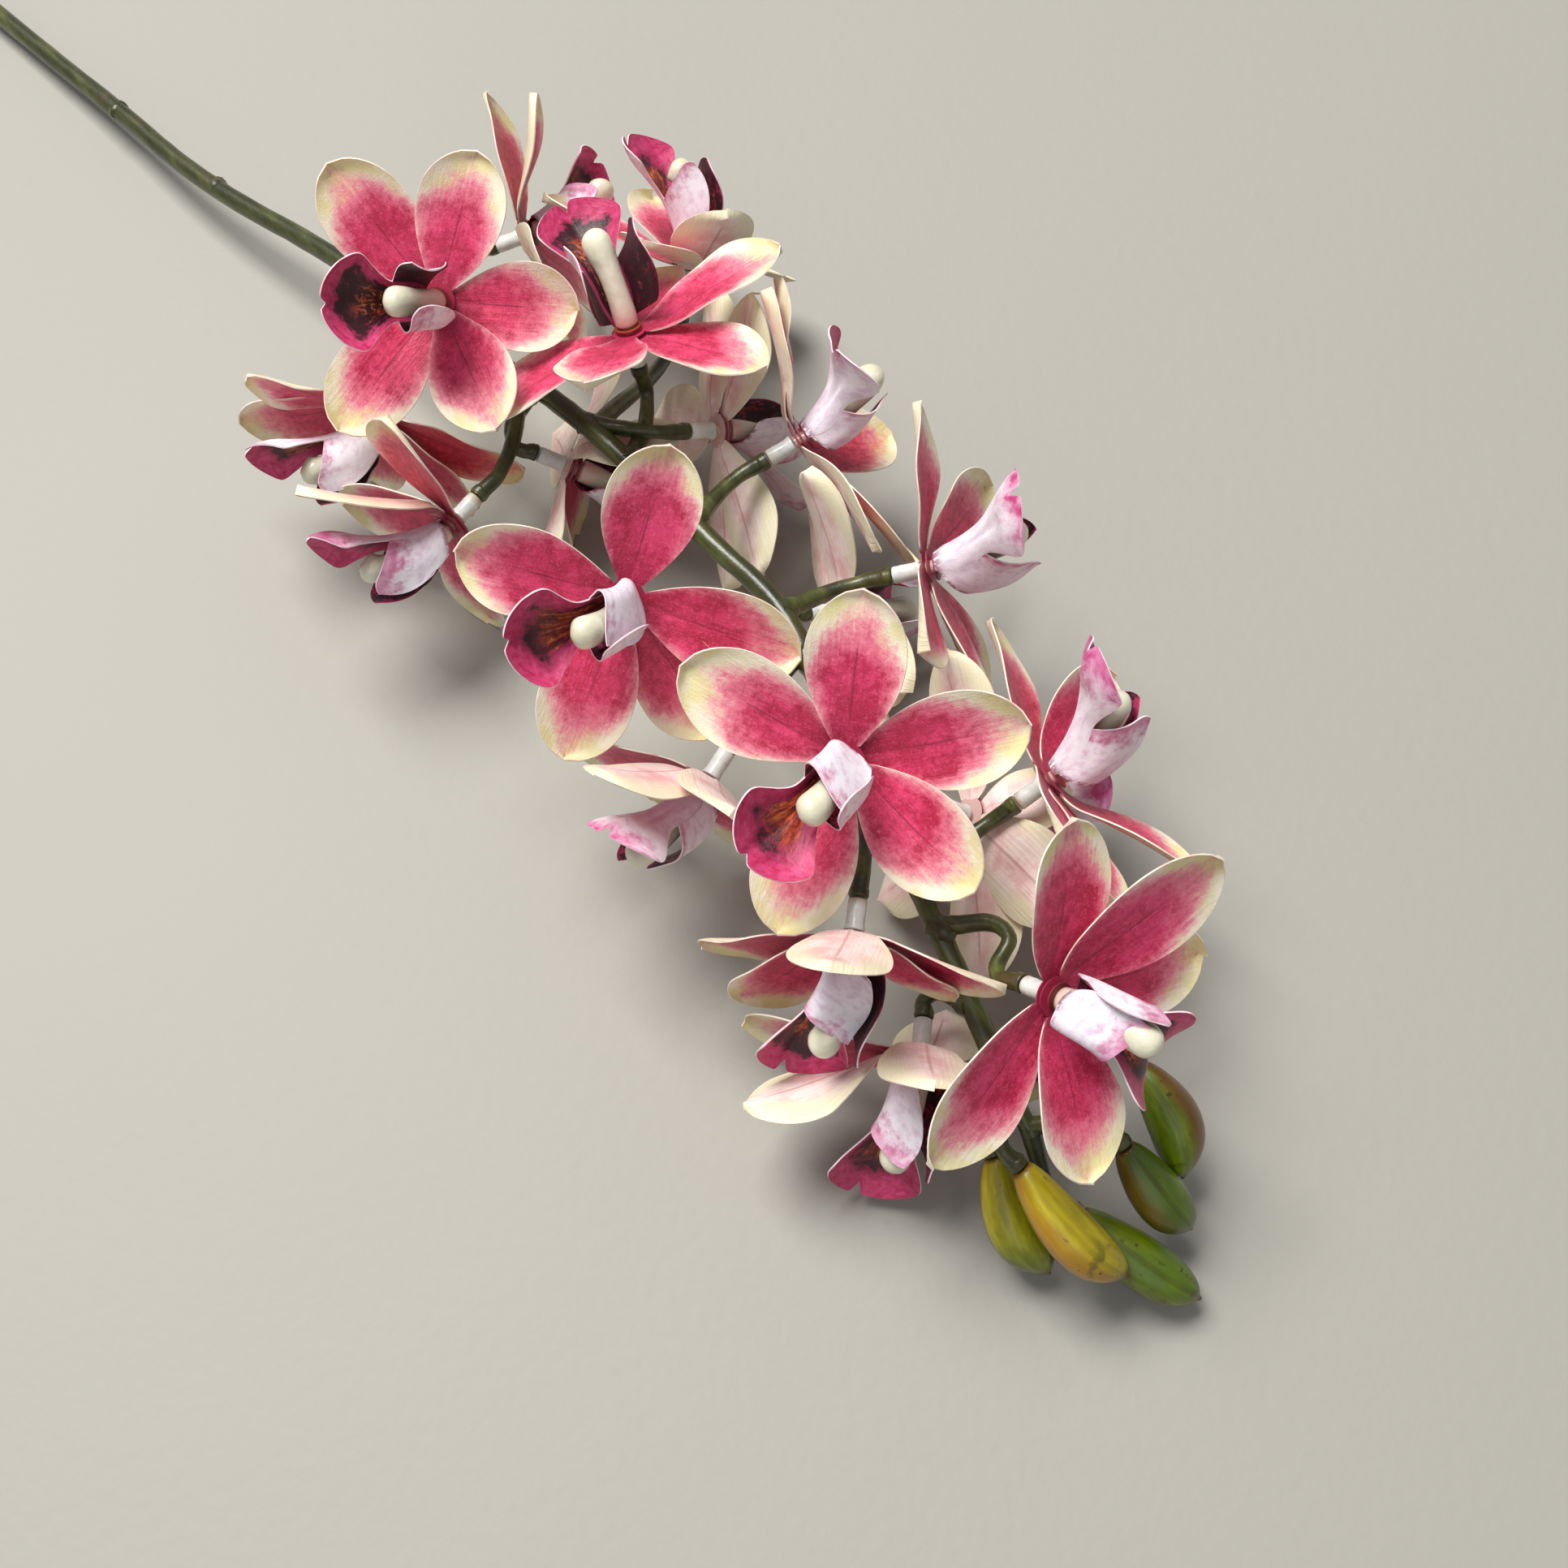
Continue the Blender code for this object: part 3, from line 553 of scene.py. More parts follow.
def column_mesh(letter, matrix, lip):
    turn = math.radians(lip)
    way = Vector((math.cos(turn), math.sin(turn), 0))
    across = Vector((-way.y, way.x, 0))
    spots = [(Vector((0, 0, height * MM)), 90, SHANK_RADIUS) for height in SHANK_RINGS]
    spot = Vector((0, 0, SHANK_TOP))
    for i in range(COLUMN_RINGS + 1):
        share = i / COLUMN_RINGS
        nod = COLUMN_NOD * max(0, share - COLUMN_NECK) / (1 - COLUMN_NECK)
        slope = COLUMN_SLOPE - COLUMN_ARCH * share - nod
        spots.append((spot.copy(), slope, between(COLUMN_PROFILE, share) * COLUMN_RADIUS))
        rise = math.radians(slope)
        spot += (way * math.cos(rise) + Vector((0, 0, math.sin(rise)))) * COLUMN_LENGTH / COLUMN_RINGS
    rings = []
    for i, (spot, slope, radius) in enumerate(spots):
        share = max(0, (i - len(SHANK_RINGS)) / COLUMN_RINGS)
        rise = math.radians(slope)
        normal = Vector((0, 0, math.cos(rise))) - way * math.sin(rise)
        ring = []
        for k in range(COLUMN_SIDES):
            a = math.tau * k / COLUMN_SIDES
            under = max(0.0, -math.sin(a))
            hollow = COLUMN_HOLLOW * under ** 2 * math.sin(math.pi * min(share / 0.8, 1))
            nose = COLUMN_NOSE * under ** 3 * bump_at(share, 0.9, 0.06)
            reach = radius * (1 - hollow * math.cos(a * 2) ** 2 + nose)
            ring.append(matrix @ (spot + across * math.cos(a) * reach
                                  + normal * math.sin(a) * reach * COLUMN_FLATNESS))
        rings.append(ring)
    return loft("bloom_%s_column_cap" % letter, rings)


def column_finish():
    paint = Finish("column_plastic")
    along = paint.parts(paint.carried("place"))[0]
    where = paint.node("TexCoord", {}, {}, "Object")
    cloud = paint.noise(where, 160.0, 3.0)
    ivory = paint.ramp(cloud, ((0.3, colour(216, 211, 182)), (0.7, colour(236, 234, 212))))
    base = paint.mix(colour(226, 190, 178), ivory, paint.step(along + 0.2 * cloud, 0.12, 0.45))
    return paint.wear(Base_Color=base, Roughness=0.24 + 0.12 * cloud, Subsurface_Weight=0.18,
                      Subsurface_Radius=(0.004, 0.003, 0.002), Subsurface_Scale=0.6, Coat_Weight=0.3,
                      Coat_Roughness=0.12, Normal=paint.relief(paint.noise(where, 420.0, 2.0), 0.0002))


column_paint = column_finish()
matrices = {letter: bloom_matrix(*values[:3]) for letter, values in BLOOMS.items()}


def column_node(letter):
    """CAD node that a bloom's column is in: three blooms have lip and column in one."""
    node = "bloom_%s_column" % letter
    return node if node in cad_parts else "bloom_%s_lip" % letter


for letter, values in BLOOMS.items():
    column = column_mesh(letter, matrices[letter], values[3])
    piece(column, column_node(letter), "column_plastic", column_paint)

# The collar is a short length of clear plastic tube that joins the shank to the socket of the stalk.
# It has gone milky, and a little golden glue shows at some of its ends.
COLLAR_RADIUS = 1.9 * MM
# Height above the hub in millimetres, and share of the radius.
COLLAR_RINGS = ((-7.2, 0.80), (-7.15, 0.93), (-6.9, 0.98), (-5.6, 0.96), (-5.2, 1.0), (-4.8, 0.96),
                (-2.4, 0.94), (-1.7, 1.02), (-1.3, 1.06), (-1.12, 1.02), (-1.1, 0.84))
COLLAR_SIDES = 28
# How much glue shows at the collar of a bloom.
GLUED = {"j": 1.0, "n": 0.6, "f": 0.8, "h": 0.4, "p": 0.5, "k": 0.3}


def collar_mesh(letter, matrix):
    rings = []
    for height, size in COLLAR_RINGS:
        ring = []
        for k in range(COLLAR_SIDES):
            a = math.tau * k / COLLAR_SIDES
            spot = Vector((math.cos(a), math.sin(a), 0)) * size * COLLAR_RADIUS
            ring.append(matrix @ (spot + Vector((0, 0, height * MM))))
        rings.append(ring)
    return loft("bloom_%s_collar" % letter, rings, (GLUED.get(letter, 0.0), 0, 0))


def collar_finish():
    paint = Finish("collar_tube")
    along = paint.parts(paint.carried("place"))[0]
    glued = paint.parts(paint.carried("mood"))[0]
    where = paint.node("TexCoord", {}, {}, "Object")
    cloud = paint.noise(where, 300.0, 3.0)
    milky = paint.ramp(cloud, ((0.3, colour(208, 211, 207)), (0.7, colour(238, 239, 236))))
    glue = paint.step(along + 0.35 * cloud, 0.55, 0.3) * glued
    base = paint.mix(milky, colour(168, 132, 62), glue)
    return paint.wear(Base_Color=base, Roughness=0.22 + 0.15 * cloud, Transmission_Weight=0.1, IOR=1.45,
                      Coat_Weight=0.3, Coat_Roughness=0.1, Normal=paint.relief(cloud, 0.0003))


collar_paint = collar_finish()
for letter in BLOOMS:
    collar = collar_mesh(letter, matrices[letter])
    piece(collar, column_node(letter), "column_plastic", collar_paint)

# The lip is one punched and pressed piece of coated fabric, printed on its face: two side lobes that
# wrap the column, a waist, and a broad cupped end with a notch. Its back is nearly white.
FABRIC = 0.3 * MM
TABLE_CLEARANCE = 0.02 * MM
# Where the lip's sheet starts, out from the hub's axis and above the hub, and the disc at its heart.
LIP_FOOT = 2.7 * MM
LIP_HEIGHT = 2.175 * MM
LIP_HEART = 3.0 * MM
HEART_SIDES = 32
LIP_LENGTH = 29 * MM
# In degrees: the lean at the foot, the curl back over the length, and the lift of the end from a share
# of the length on.
LIP_LEAN = 72
LIP_CURL = -52
LIP_TIP_CURL = 46
LIP_TIP_START = 0.7
# Share of the length, half width in mm, and wrap in degrees, of the floor and the mid lobe.
LIP_STATIONS = ((0, 2.6, 40), (0.14, 4.2, 55), (0.3, 4.8, 60), (0.43, 4.9, 54), (0.53, 6.6, 50),
                (0.63, 9.4, 52), (0.75, 11.8, 58), (1, 12.4, 56))
# The end is rounded from this share of the length on, and has a notch in the middle.
LIP_ROUND = 0.62
NOTCH_DEPTH = 0.08
NOTCH_WIDTH = 0.1
# Height of the waved edge, of the two ridges on the floor, and depth of the groove before the notch.
LIP_RUFFLE = 0.4 * MM
LIP_RIDGE = 0.5 * MM
LIP_GROOVE = 0.7 * MM
LIP_ROWS = 46
LIP_COLUMNS = 30
# Each side lobe leaves the floor's edge between two shares of the length and slants forward.
LOBE_START = 0.02
LOBE_END = 0.42
LOBE_SLANT = (0.06, 0.14)
LOBE_HEIGHT = 12 * MM
LOBE_WAVE = 0.5 * MM
# A lobe that is folded over the column is longer, narrower and has a sharper bend.
# In degrees of its curl: where it starts to fold, and where it lies over the column.
FOLD_START = 60
FOLD_FULL = 110
FOLD_HEIGHT = 5 * MM
FOLD_END = -0.09
FOLD_WAVE = 0.6 * MM
LOBE_ROWS = 22
LOBE_COLUMNS = 18
LOBE_STEPS = 14
# Curl of the two side lobes in degrees, the right one first, looking from the hub along the lip; how
# dark the print of the lip's face is; how far its end bends down, in degrees; and share of the length.
LIP_MOODS = {"a": (30, 75, 0.95, 0, 1), "b": (25, 20, 0.85, 0, 1), "g": (112, 78, 0.5, 0, 1),
             "h": (110, 72, 0.35, 0, 1), "p": (104, 66, 0.7, 80, 0.84), "n": (116, 50, 0.9, 0, 1),
             "k": (60, 80, 0.2, 30, 0.8), "j": (60, 60, 0.2, 0, 1), "m": (90, 30, 0.3, 0, 0.9),
             "o": (85, 45, 0.5, 10, 1), "d": (60, 45, 0.6, 0, 0.8)}
LIP_MOOD = (65, 45, 0.6, 0, 1)
# Edges of fabric sharper than this stay crisp.
CRISP_FABRIC = math.radians(50)


class Sheet:
    """A sheet that leaves the hub in a direction. Each kind has its own slope along the length."""

    def __init__(self, matrix, direction, length, lean, curl, foot, height):
        self.matrix, self.direction, self.length = matrix, math.radians(direction), length
        self.lean, self.curl, self.foot, self.height = lean, curl, foot, height

    def spine(self, t):
        """Distance from the hub's axis and height of the middle line."""
        out, up, steps = self.foot, self.height, 12
        for i in range(steps):
            slope = self.slope(t * (i + 0.5) / steps)
            out += math.cos(slope) * self.length * t / steps
            up += math.sin(slope) * self.length * t / steps
        return out, up

    def place(self, t, across, rise):
        """Point of the frame beside and above the middle line, never under the table."""
        out, up = self.spine(t)
        slope = self.slope(t)
        y, z = out - rise * math.sin(slope), up + rise * math.cos(slope)
        c, s = math.cos(self.direction), math.sin(self.direction)
        spot = self.matrix @ Vector((y * c + across * s, y * s - across * c, z))
        spot.z = max(spot.z, FABRIC / 2 + TABLE_CLEARANCE)
        return spot


class Lip(Sheet):
    """A sheet that leans forward, curls back over its length, and lifts or droops at its end."""

    def __init__(self, matrix, direction, length, droop):
        super().__init__(matrix, direction, length, LIP_LEAN, LIP_CURL, LIP_FOOT, LIP_HEIGHT)
        self.droop = droop

    def slope(self, share):
        lift = max(LIP_TIP_CURL - self.droop, 0) * max(0, share - LIP_TIP_START) / (1 - LIP_TIP_START)
        return math.radians(self.lean + self.curl * share + lift - self.droop * share ** 2)


def lip_section(t, side):
    """Across, rise and slant in radians of the lip's floor or mid lobe."""
    half, wrap = between(LIP_STATIONS, t)
    half, wrap = half * MM, math.radians(wrap)
    return (half / wrap * math.sin(side * wrap), half / wrap * (1 - math.cos(side * wrap)), side * wrap)


def lip_point(sheet, t, side, phase):
    """Point of the floor or mid lobe, with its round corners, its notch and its ruffle."""
    ending = max(0.0, (t - LIP_ROUND) / (1 - LIP_ROUND))
    across, rise = lip_section(t, side * math.sqrt(1 - ending ** 2 / 2))[:2]
    forward = (1 - LIP_ROUND) * ending * (math.sqrt(1 - side ** 2 / 2) - 1)
    forward -= NOTCH_DEPTH * ending ** 2 * bump_at(side, 0, NOTCH_WIDTH)
    rise += LIP_RUFFLE * abs(side) ** 3 * math.sin(5 * t + phase) * bump_at(t, 0.8, 0.2)
    rise += LIP_RIDGE * bump_at(abs(side), 0.2, 0.12) * bump_at(t, 0.5, 0.2)
    rise -= LIP_GROOVE * bump_at(side, 0, 0.12) * bump_at(t, 0.9, 0.25)
    return sheet.place(t + forward, across, rise), 0


def lobe_point(sheet, along, up, hand, curl, phase):
    """Point of a side lobe, up its height from the floor's edge; hand is 1 or -1."""
    fold = min(max((curl - FOLD_START) / (FOLD_FULL - FOLD_START), 0), 1)
    start, end = LOBE_START + LOBE_SLANT[0] * up, LOBE_END + LOBE_SLANT[1] * up + FOLD_END * fold
    corner = 0.06 * max(0.0, (up - 0.75) / 0.25) ** 2 * (1 - 0.7 * fold)
    t = start + corner * 1.4 + (end - start - 2.2 * corner) * along
    across, rise, slant = lip_section(LOBE_START + (LOBE_END - LOBE_START) * along, 1)
    height = LOBE_HEIGHT + FOLD_HEIGHT * fold
    step = height * (0.8 + 0.2 * math.sin(math.pi / 2 * min(along / 0.7, 1))) * up / LOBE_STEPS
    for i in range(LOBE_STEPS):
        share = up * (i + 0.5) / LOBE_STEPS - 0.15 - 0.08 * fold
        turn = slant + math.radians(curl) * min(max(share, 0) / (0.5 - 0.22 * fold), 1)
        across += math.cos(turn) * step
        rise += math.sin(turn) * step
    wave = LOBE_WAVE * up ** 2 * math.sin(5 * along + phase)
    rise += FOLD_WAVE * fold * up ** 2 * math.sin(4 * along + 2 * phase)
    return sheet.place(t, hand * (across + wave), rise), 1


def fabric_object(name, grids, discs):
    """One piece from grids of (rows, columns, rule, mood) and flat discs, thickened into fabric. A rule
    gives a point and a mark for the print. The piece's slots are those of face, back and edge."""
    bm = bmesh.new()
    place = bm.verts.layers.float_vector.new("place")
    mood = bm.verts.layers.float_vector.new("mood")
    for rows, columns, rule, tone in grids:
        made = bmesh.ops.create_grid(bm, x_segments=columns, y_segments=rows, size=0.5)["verts"]
        for v in made:
            t, side = v.co.y + 0.5, 2 * v.co.x
            v.co, mark = rule(t, side)
            v[place] = (t, side, mark)
            v[mood] = tone
    for matrix, radius, tone in discs:
        made = bmesh.ops.create_circle(bm, cap_ends=True, segments=HEART_SIDES, radius=radius,
                                       matrix=matrix)["verts"]
        for v in made:
            v[place] = (0, 0, 0)
            v[mood] = tone
    mesh = bpy.data.meshes.new(name)
    bm.to_mesh(mesh)
    bm.free()
    ob = bpy.data.objects.new(name, mesh)
    bpy.context.scene.collection.objects.link(ob)
    for i in range(3):
        mesh.materials.append(None)
    thick = ob.modifiers.new("fabric", "SOLIDIFY")
    thick.thickness = FABRIC
    thick.offset = 0
    thick.material_offset = 1
    thick.material_offset_rim = 2
    bpy.context.view_layer.update()
    ob.data = bpy.data.meshes.new_from_object(ob.evaluated_get(bpy.context.evaluated_depsgraph_get()))
    ob.modifiers.clear()
    ob.data.shade_smooth()
    ob.data.set_sharp_from_angle(angle=CRISP_FABRIC)
    return ob


def lip_finishes():
    """Face, back and cut edge. The mark is 0 on the floor and mid lobe, 1 on a side lobe."""
    face = Finish("lip_face")
    t, side, lobe = face.parts(face.carried("place"))
    seed, dark = face.parts(face.carried("mood"))[::2]
    across = abs(side)
    where = face.vector(t * 8.7, side * 3.3, seed * 20.0 + lobe * 3.0)
    blot = face.noise(where, 0.75, 4.0, 0.6)
    cloud = face.noise(where, 2.2, 4.0, 0.6)
    veins = face.noise(face.vector(t * 3.0, side * 9.0, seed * 20.0), 1.0, 3.0, 0.6)
    spots = face.noise(where, 3.2, 3.0, 0.55)
    veins = veins * (1.0 - 0.75 * dark) + spots * 0.75 * dark
    rose = face.ramp(cloud, ((0.32, colour(182, 22, 78)), (0.68, colour(220, 76, 130))))
    brick = face.ramp(veins, ((0.38, colour(96, 14, 30)), (0.5, colour(184, 62, 40)),
                              (0.62, colour(228, 132, 66))))
    throat = face.step(t + 0.35 * veins, 1.0, 0.74) * face.step(across + 0.5 * cloud, 0.85, 0.5)
    inner = (1.0 - across ** 2.0) * face.step(t + across * 0.12, 1.03, 0.74)
    black = face.step(inner * 0.9 + (blot - 0.5) * 1.2 + (cloud - 0.5) * 0.9 + dark * 0.5, 0.84, 1.1)
    base = face.mix(rose, colour(120, 14, 54), face.step(inner + (blot - 0.5) * 1.1, 0.3, 0.9) * 0.75)
    base = face.mix(base, brick, face.step(throat + (blot - 0.5) * dark, 0.1, 0.7) * (1.0 - 0.5 * lobe))
    glow = throat * (1.0 - dark * (1.0 - face.step(veins + (blot - 0.5) * 0.6, 0.5, 0.6)))
    black = black * (1.0 - glow * 0.85)
    lobe_black = face.step(blot * 0.7 + cloud * 0.5 + dark * 0.2, 0.55, 0.72) * face.step(across, 1.0, 0.9)
    black = black * (1.0 - lobe) + lobe_black * lobe
    base = face.mix(base, colour(30, 6, 14), black * 0.95)
    fine = face.noise(face.vector(t * 90.0, side * 60.0, seed), 1.0, 2.0)
    base = face.mix(base, colour(246, 190, 216), face.step(fine, 0.58, 0.85) * 0.12)
    face_material = face.wear(Base_Color=base, Roughness=0.42, Sheen_Weight=0.05,
                              Normal=face.relief(fine * 0.4 + veins * 0.6, 0.0002))
    back = Finish("lip_back")
    t, side, lobe = back.parts(back.carried("place"))
    seed, pale = back.parts(back.carried("mood"))[:2]
    where = back.vector(t * 8.7, side * 3.3, seed * 20.0)
    cloud = back.noise(where, 0.9, 4.0, 0.6)
    white = back.mix(colour(249, 243, 250), colour(232, 212, 230), back.step(cloud, 0.42, 0.7))
    pink = back.mix(colour(226, 138, 184), colour(196, 58, 120), back.step(cloud, 0.35, 0.68))
    far = back.step(t + 0.45 * cloud - 0.25 * pale, 0.74, 1.12) * (1.0 - lobe)
    fringe = back.step(t + 0.7 * cloud - 0.25 * pale, 0.9, 1.25) * lobe
    base = back.mix(white, pink, far + fringe * 0.75)
    stain = back.step(t + 0.3 * (cloud - 0.5), 0.1, 0.03) * back.step(cloud, 0.4, 0.55)
    base = back.mix(base, colour(120, 24, 60), stain * 0.8)
    fine = back.noise(back.vector(t * 90.0, side * 60.0, seed), 1.0, 2.0)
    back_material = back.wear(Base_Color=base, Roughness=0.5, Sheen_Weight=0.06,
                              Normal=back.relief(fine * 0.5 + cloud * 0.5, 0.0002))
    return face_material, back_material, edge_finish("lip_cut_edge", colour(244, 226, 234))


def edge_finish(name, tone):
    """White cut edge of the fabric, with the print soaked in here and there."""
    paint = Finish(name)
    where = paint.node("TexCoord", {}, {}, "Object")
    soak = paint.noise(where, 260.0, 3.0)
    base = paint.mix(tone, colour(226, 160, 156), paint.step(soak, 0.45, 0.72) * 0.7)
    heart = paint.step(paint.parts(paint.carried("place"))[0], 0.05, 0.01)
    base = paint.mix(base, colour(150, 34, 66), heart)
    return paint.wear(Base_Color=base, Roughness=0.65)


def lip_object(letter, lip):
    chance = random.Random("lip " + letter)
    phases = [chance.uniform(0, math.tau) for k in range(3)]
    *curls, dark, droop, share = LIP_MOODS.get(letter, LIP_MOOD)
    sheet = Lip(matrices[letter], lip, LIP_LENGTH * share, droop)
    tone = (chance.random(), chance.random(), dark)
    grids = [(LIP_ROWS, LIP_COLUMNS, lambda t, side: lip_point(sheet, t, side, phases[0]), tone)]
    for hand, curl, phase in zip((1, -1), curls, phases[1:]):
        def rule(t, side, hand=hand, curl=curl, phase=phase):
            return lobe_point(sheet, t, (1 + hand * side) / 2, hand, curl, phase)

        grids.append((LOBE_ROWS, LOBE_COLUMNS, rule, tone))
    ring = matrices[letter] @ Matrix.Translation((0, 0, LIP_HEIGHT))
    return fabric_object("bloom_%s_lip_sheet" % letter, grids, [(ring, LIP_HEART, tone)])


lip_paints = lip_finishes()
for letter, values in BLOOMS.items():
    piece(lip_object(letter, values[3]), "bloom_%s_lip" % letter, "lip_fabric", *lip_paints)

# The tepals are cut from coated fabric in two layers, three outer and two inner, and pressed over a
# form that gives them a crease down the middle and a soft cup. The face is printed raspberry in the
# middle and cream at the margin; the back is paler and shows its veins.
TEPAL_WIDTH = 19 * MM
TEPAL_FOOT = 3.3 * MM
TEPAL_HEART = 3.9 * MM
INNER_LAYER = 1.0 * MM
# Share of the width at the foot, and shares of the length at the broadest place, where the lean is taken
# up and where the cup is full; curl over the length in degrees; height of the cup as a share of the width.
TEPAL_ROOT = 0.27
TEPAL_WIDEST = 0.58
TEPAL_EASE = 0.2
CUP_FULL = 0.75
TEPAL_CURL = -15
TEPAL_CUP = 0.10
# How blunt the tip is, as two powers of the outline.
TIP_BLUNT = 2.2
TIP_ROUND = 0.62
# Half width of the pressed crease; its depth and the height of the ribs in millimetres, and the ribs'
# spacing in radians for each millimetre across.
CREASE_WIDTH = 0.55 * MM
CREASE_DEPTH = 0.32
RIB_HEIGHT = 0.05
RIB_SPACING = 2.4
TEPAL_ROWS = 30
TEPAL_COLUMNS = 18
# How broad the cream margin of a bloom's tepals is, and how much their red leans to scarlet.
TEPAL_MOODS = {
    "a": (0.6, 0.6), "b": (0.55, 0.05), "c": (0.4, 0.2), "d": (0.1, 0.9), "e": (0.2, 0.8),
    "f": (0.15, 0.8), "g": (0.3, 0.3), "h": (0.85, 0.3), "i": (0.25, 0.8), "j": (0.15, 0.7),
    "k": (0.25, 0.8), "l": (1.1, 0.25), "m": (0.4, 0.3), "n": (0.1, 0.45), "o": (0.7, 0.3),
    "p": (0.3, 0.15), "q": (0.5, 0.3), "r": (0.4, 0.6), "t": (0.6, 0.5),
}
# Tepals that are twisted on their own length, or that lean otherwise than their solid to stay clear of a
# neighbour: degrees of twist at the broadest place, and of lean forward, by bloom and direction.
TEPAL_POSES = {
    ("o", 176): (50, 6), ("h", 90): (6, 0), ("g", 75): (-8, 0), ("b", 240): (0, -4),
    ("c", 80): (0, 5), ("c", 15): (0, 8), ("f", 200): (0, 11), ("e", 350): (0, 3),
    ("j", 310): (0, -2), ("q", 85): (0, 4), ("o", 338): (0, -3),
}
# A sheet that had to be bent clear of its neighbours is also made smaller by these, step by step.
LENGTH_STEP = 0.975
WIDTH_STEP = 0.985
# Places of a sheet, as share of the length and side, that are compared with its solid; the bends in
# degrees and the steps that are tried first, and the finer ones round the best of them.
SEAT_PLACES = ((0.25, -1), (0.25, 1), (0.5, -1), (0.5, 0), (0.5, 1), (0.75, -1), (0.75, 1), (1, 0))
SEAT_BENDS = range(-50, 51, 5)
SEAT_STEPS = range(0, 37, 6)
SEAT_FINER = ((2.5, 3), (1.2, 1.5), (0.6, 0.7))


def width_share(t):
    """Width of a tepal's outline at t of its length, as a share of its greatest width."""
    if t < TEPAL_WIDEST:
        return TEPAL_ROOT + (1 - TEPAL_ROOT) * math.sin(math.pi / 2 * t / TEPAL_WIDEST)
    return max(1 - ((t - TEPAL_WIDEST) / (1 - TEPAL_WIDEST)) ** TIP_BLUNT, 0.0) ** TIP_ROUND


def cup_share(t):
    """How far the cup of a tepal has opened at t of its length."""
    return math.sin(math.pi / 2 * min(t / CUP_FULL, 1))


class Tepal(Sheet):
    """A sheet that leaves its heart flat before it leans, with a width of its own."""

    def __init__(self, matrix, direction, length, lean, height):
        super().__init__(matrix, direction, length, lean, TEPAL_CURL, TEPAL_FOOT, height)
        self.width = TEPAL_WIDTH

    def slope(self, share):
        return math.radians(self.lean * min(share / TEPAL_EASE, 1) + self.curl * share ** 1.3)

    def bare_point(self, t, side):
        """Point of the plain sheet, as the solid has it."""
        rise = TEPAL_CUP * self.width * side * side * cup_share(t)
        return self.place(t, side * width_share(t) * self.width / 2, rise)

    def distance(self, corners):
        """How far the sheet's compared places lie from the solid's corners."""
        total = 0.0
        for t, side in SEAT_PLACES:
            spot = np.array(self.bare_point(t, side))
            total += math.sqrt(((corners - spot) ** 2).sum(1).min())
        return total

    def seat(self, corners):
        """Takes the bend and the size with which the sheet lies in its solid."""
        plain, length, width = self.lean, self.length, self.width

        def tried(bend, steps):
            self.lean = plain + bend
            self.length = length * LENGTH_STEP ** steps
            self.width = width * WIDTH_STEP ** steps
            return self.distance(corners), bend, steps

        best = min(tried(bend, steps) for bend in SEAT_BENDS for steps in SEAT_STEPS)
        for reach_bend, reach_steps in SEAT_FINER:
            near = [(best[1] + i * reach_bend, max(best[2] + j * reach_steps, 0))
                    for i in (-1, 0, 1) for j in (-1, 0, 1)]
            best = min([best] + [tried(*pair) for pair in near])
        tried(*best[1:])


def node_corners(name):
    """Corners of a CAD node's mesh."""
    return np.array([tuple(v.co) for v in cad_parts[name].data.vertices])


def tepal_point(tepal, t, side, chance):
    """Point of a finished tepal: the pressed sheet, its crease, its ribs and its waved margin."""
    half = width_share(t) * tepal.width / 2
    cup = cup_share(t)
    crease = bump_at(side * half, 0, CREASE_WIDTH) * min(t / 0.1, 1) * max(0, 1 - t / 0.92)
    ribs = RIB_HEIGHT * math.cos(side * half / MM * RIB_SPACING) * cup * (1 - abs(side))
    phase = chance["phase"] * (1 if side > 0 else 2)
    waves = abs(side) ** 3 * math.sin(math.tau * chance["waves"] * t + phase)
    lift = ribs - CREASE_DEPTH * crease + chance["ruffle"] * waves * cup + chance["twist"] * side * t
    rise = TEPAL_CUP * tepal.width * side * side * cup + lift * MM
    turn = math.radians(chance["turn"]) * min(t / TEPAL_WIDEST, 1)
    across, rise = (side * half * math.cos(turn) - rise * math.sin(turn),
                    side * half * math.sin(turn) + rise * math.cos(turn))
    return tepal.place(t, across, rise), side * width_share(t)


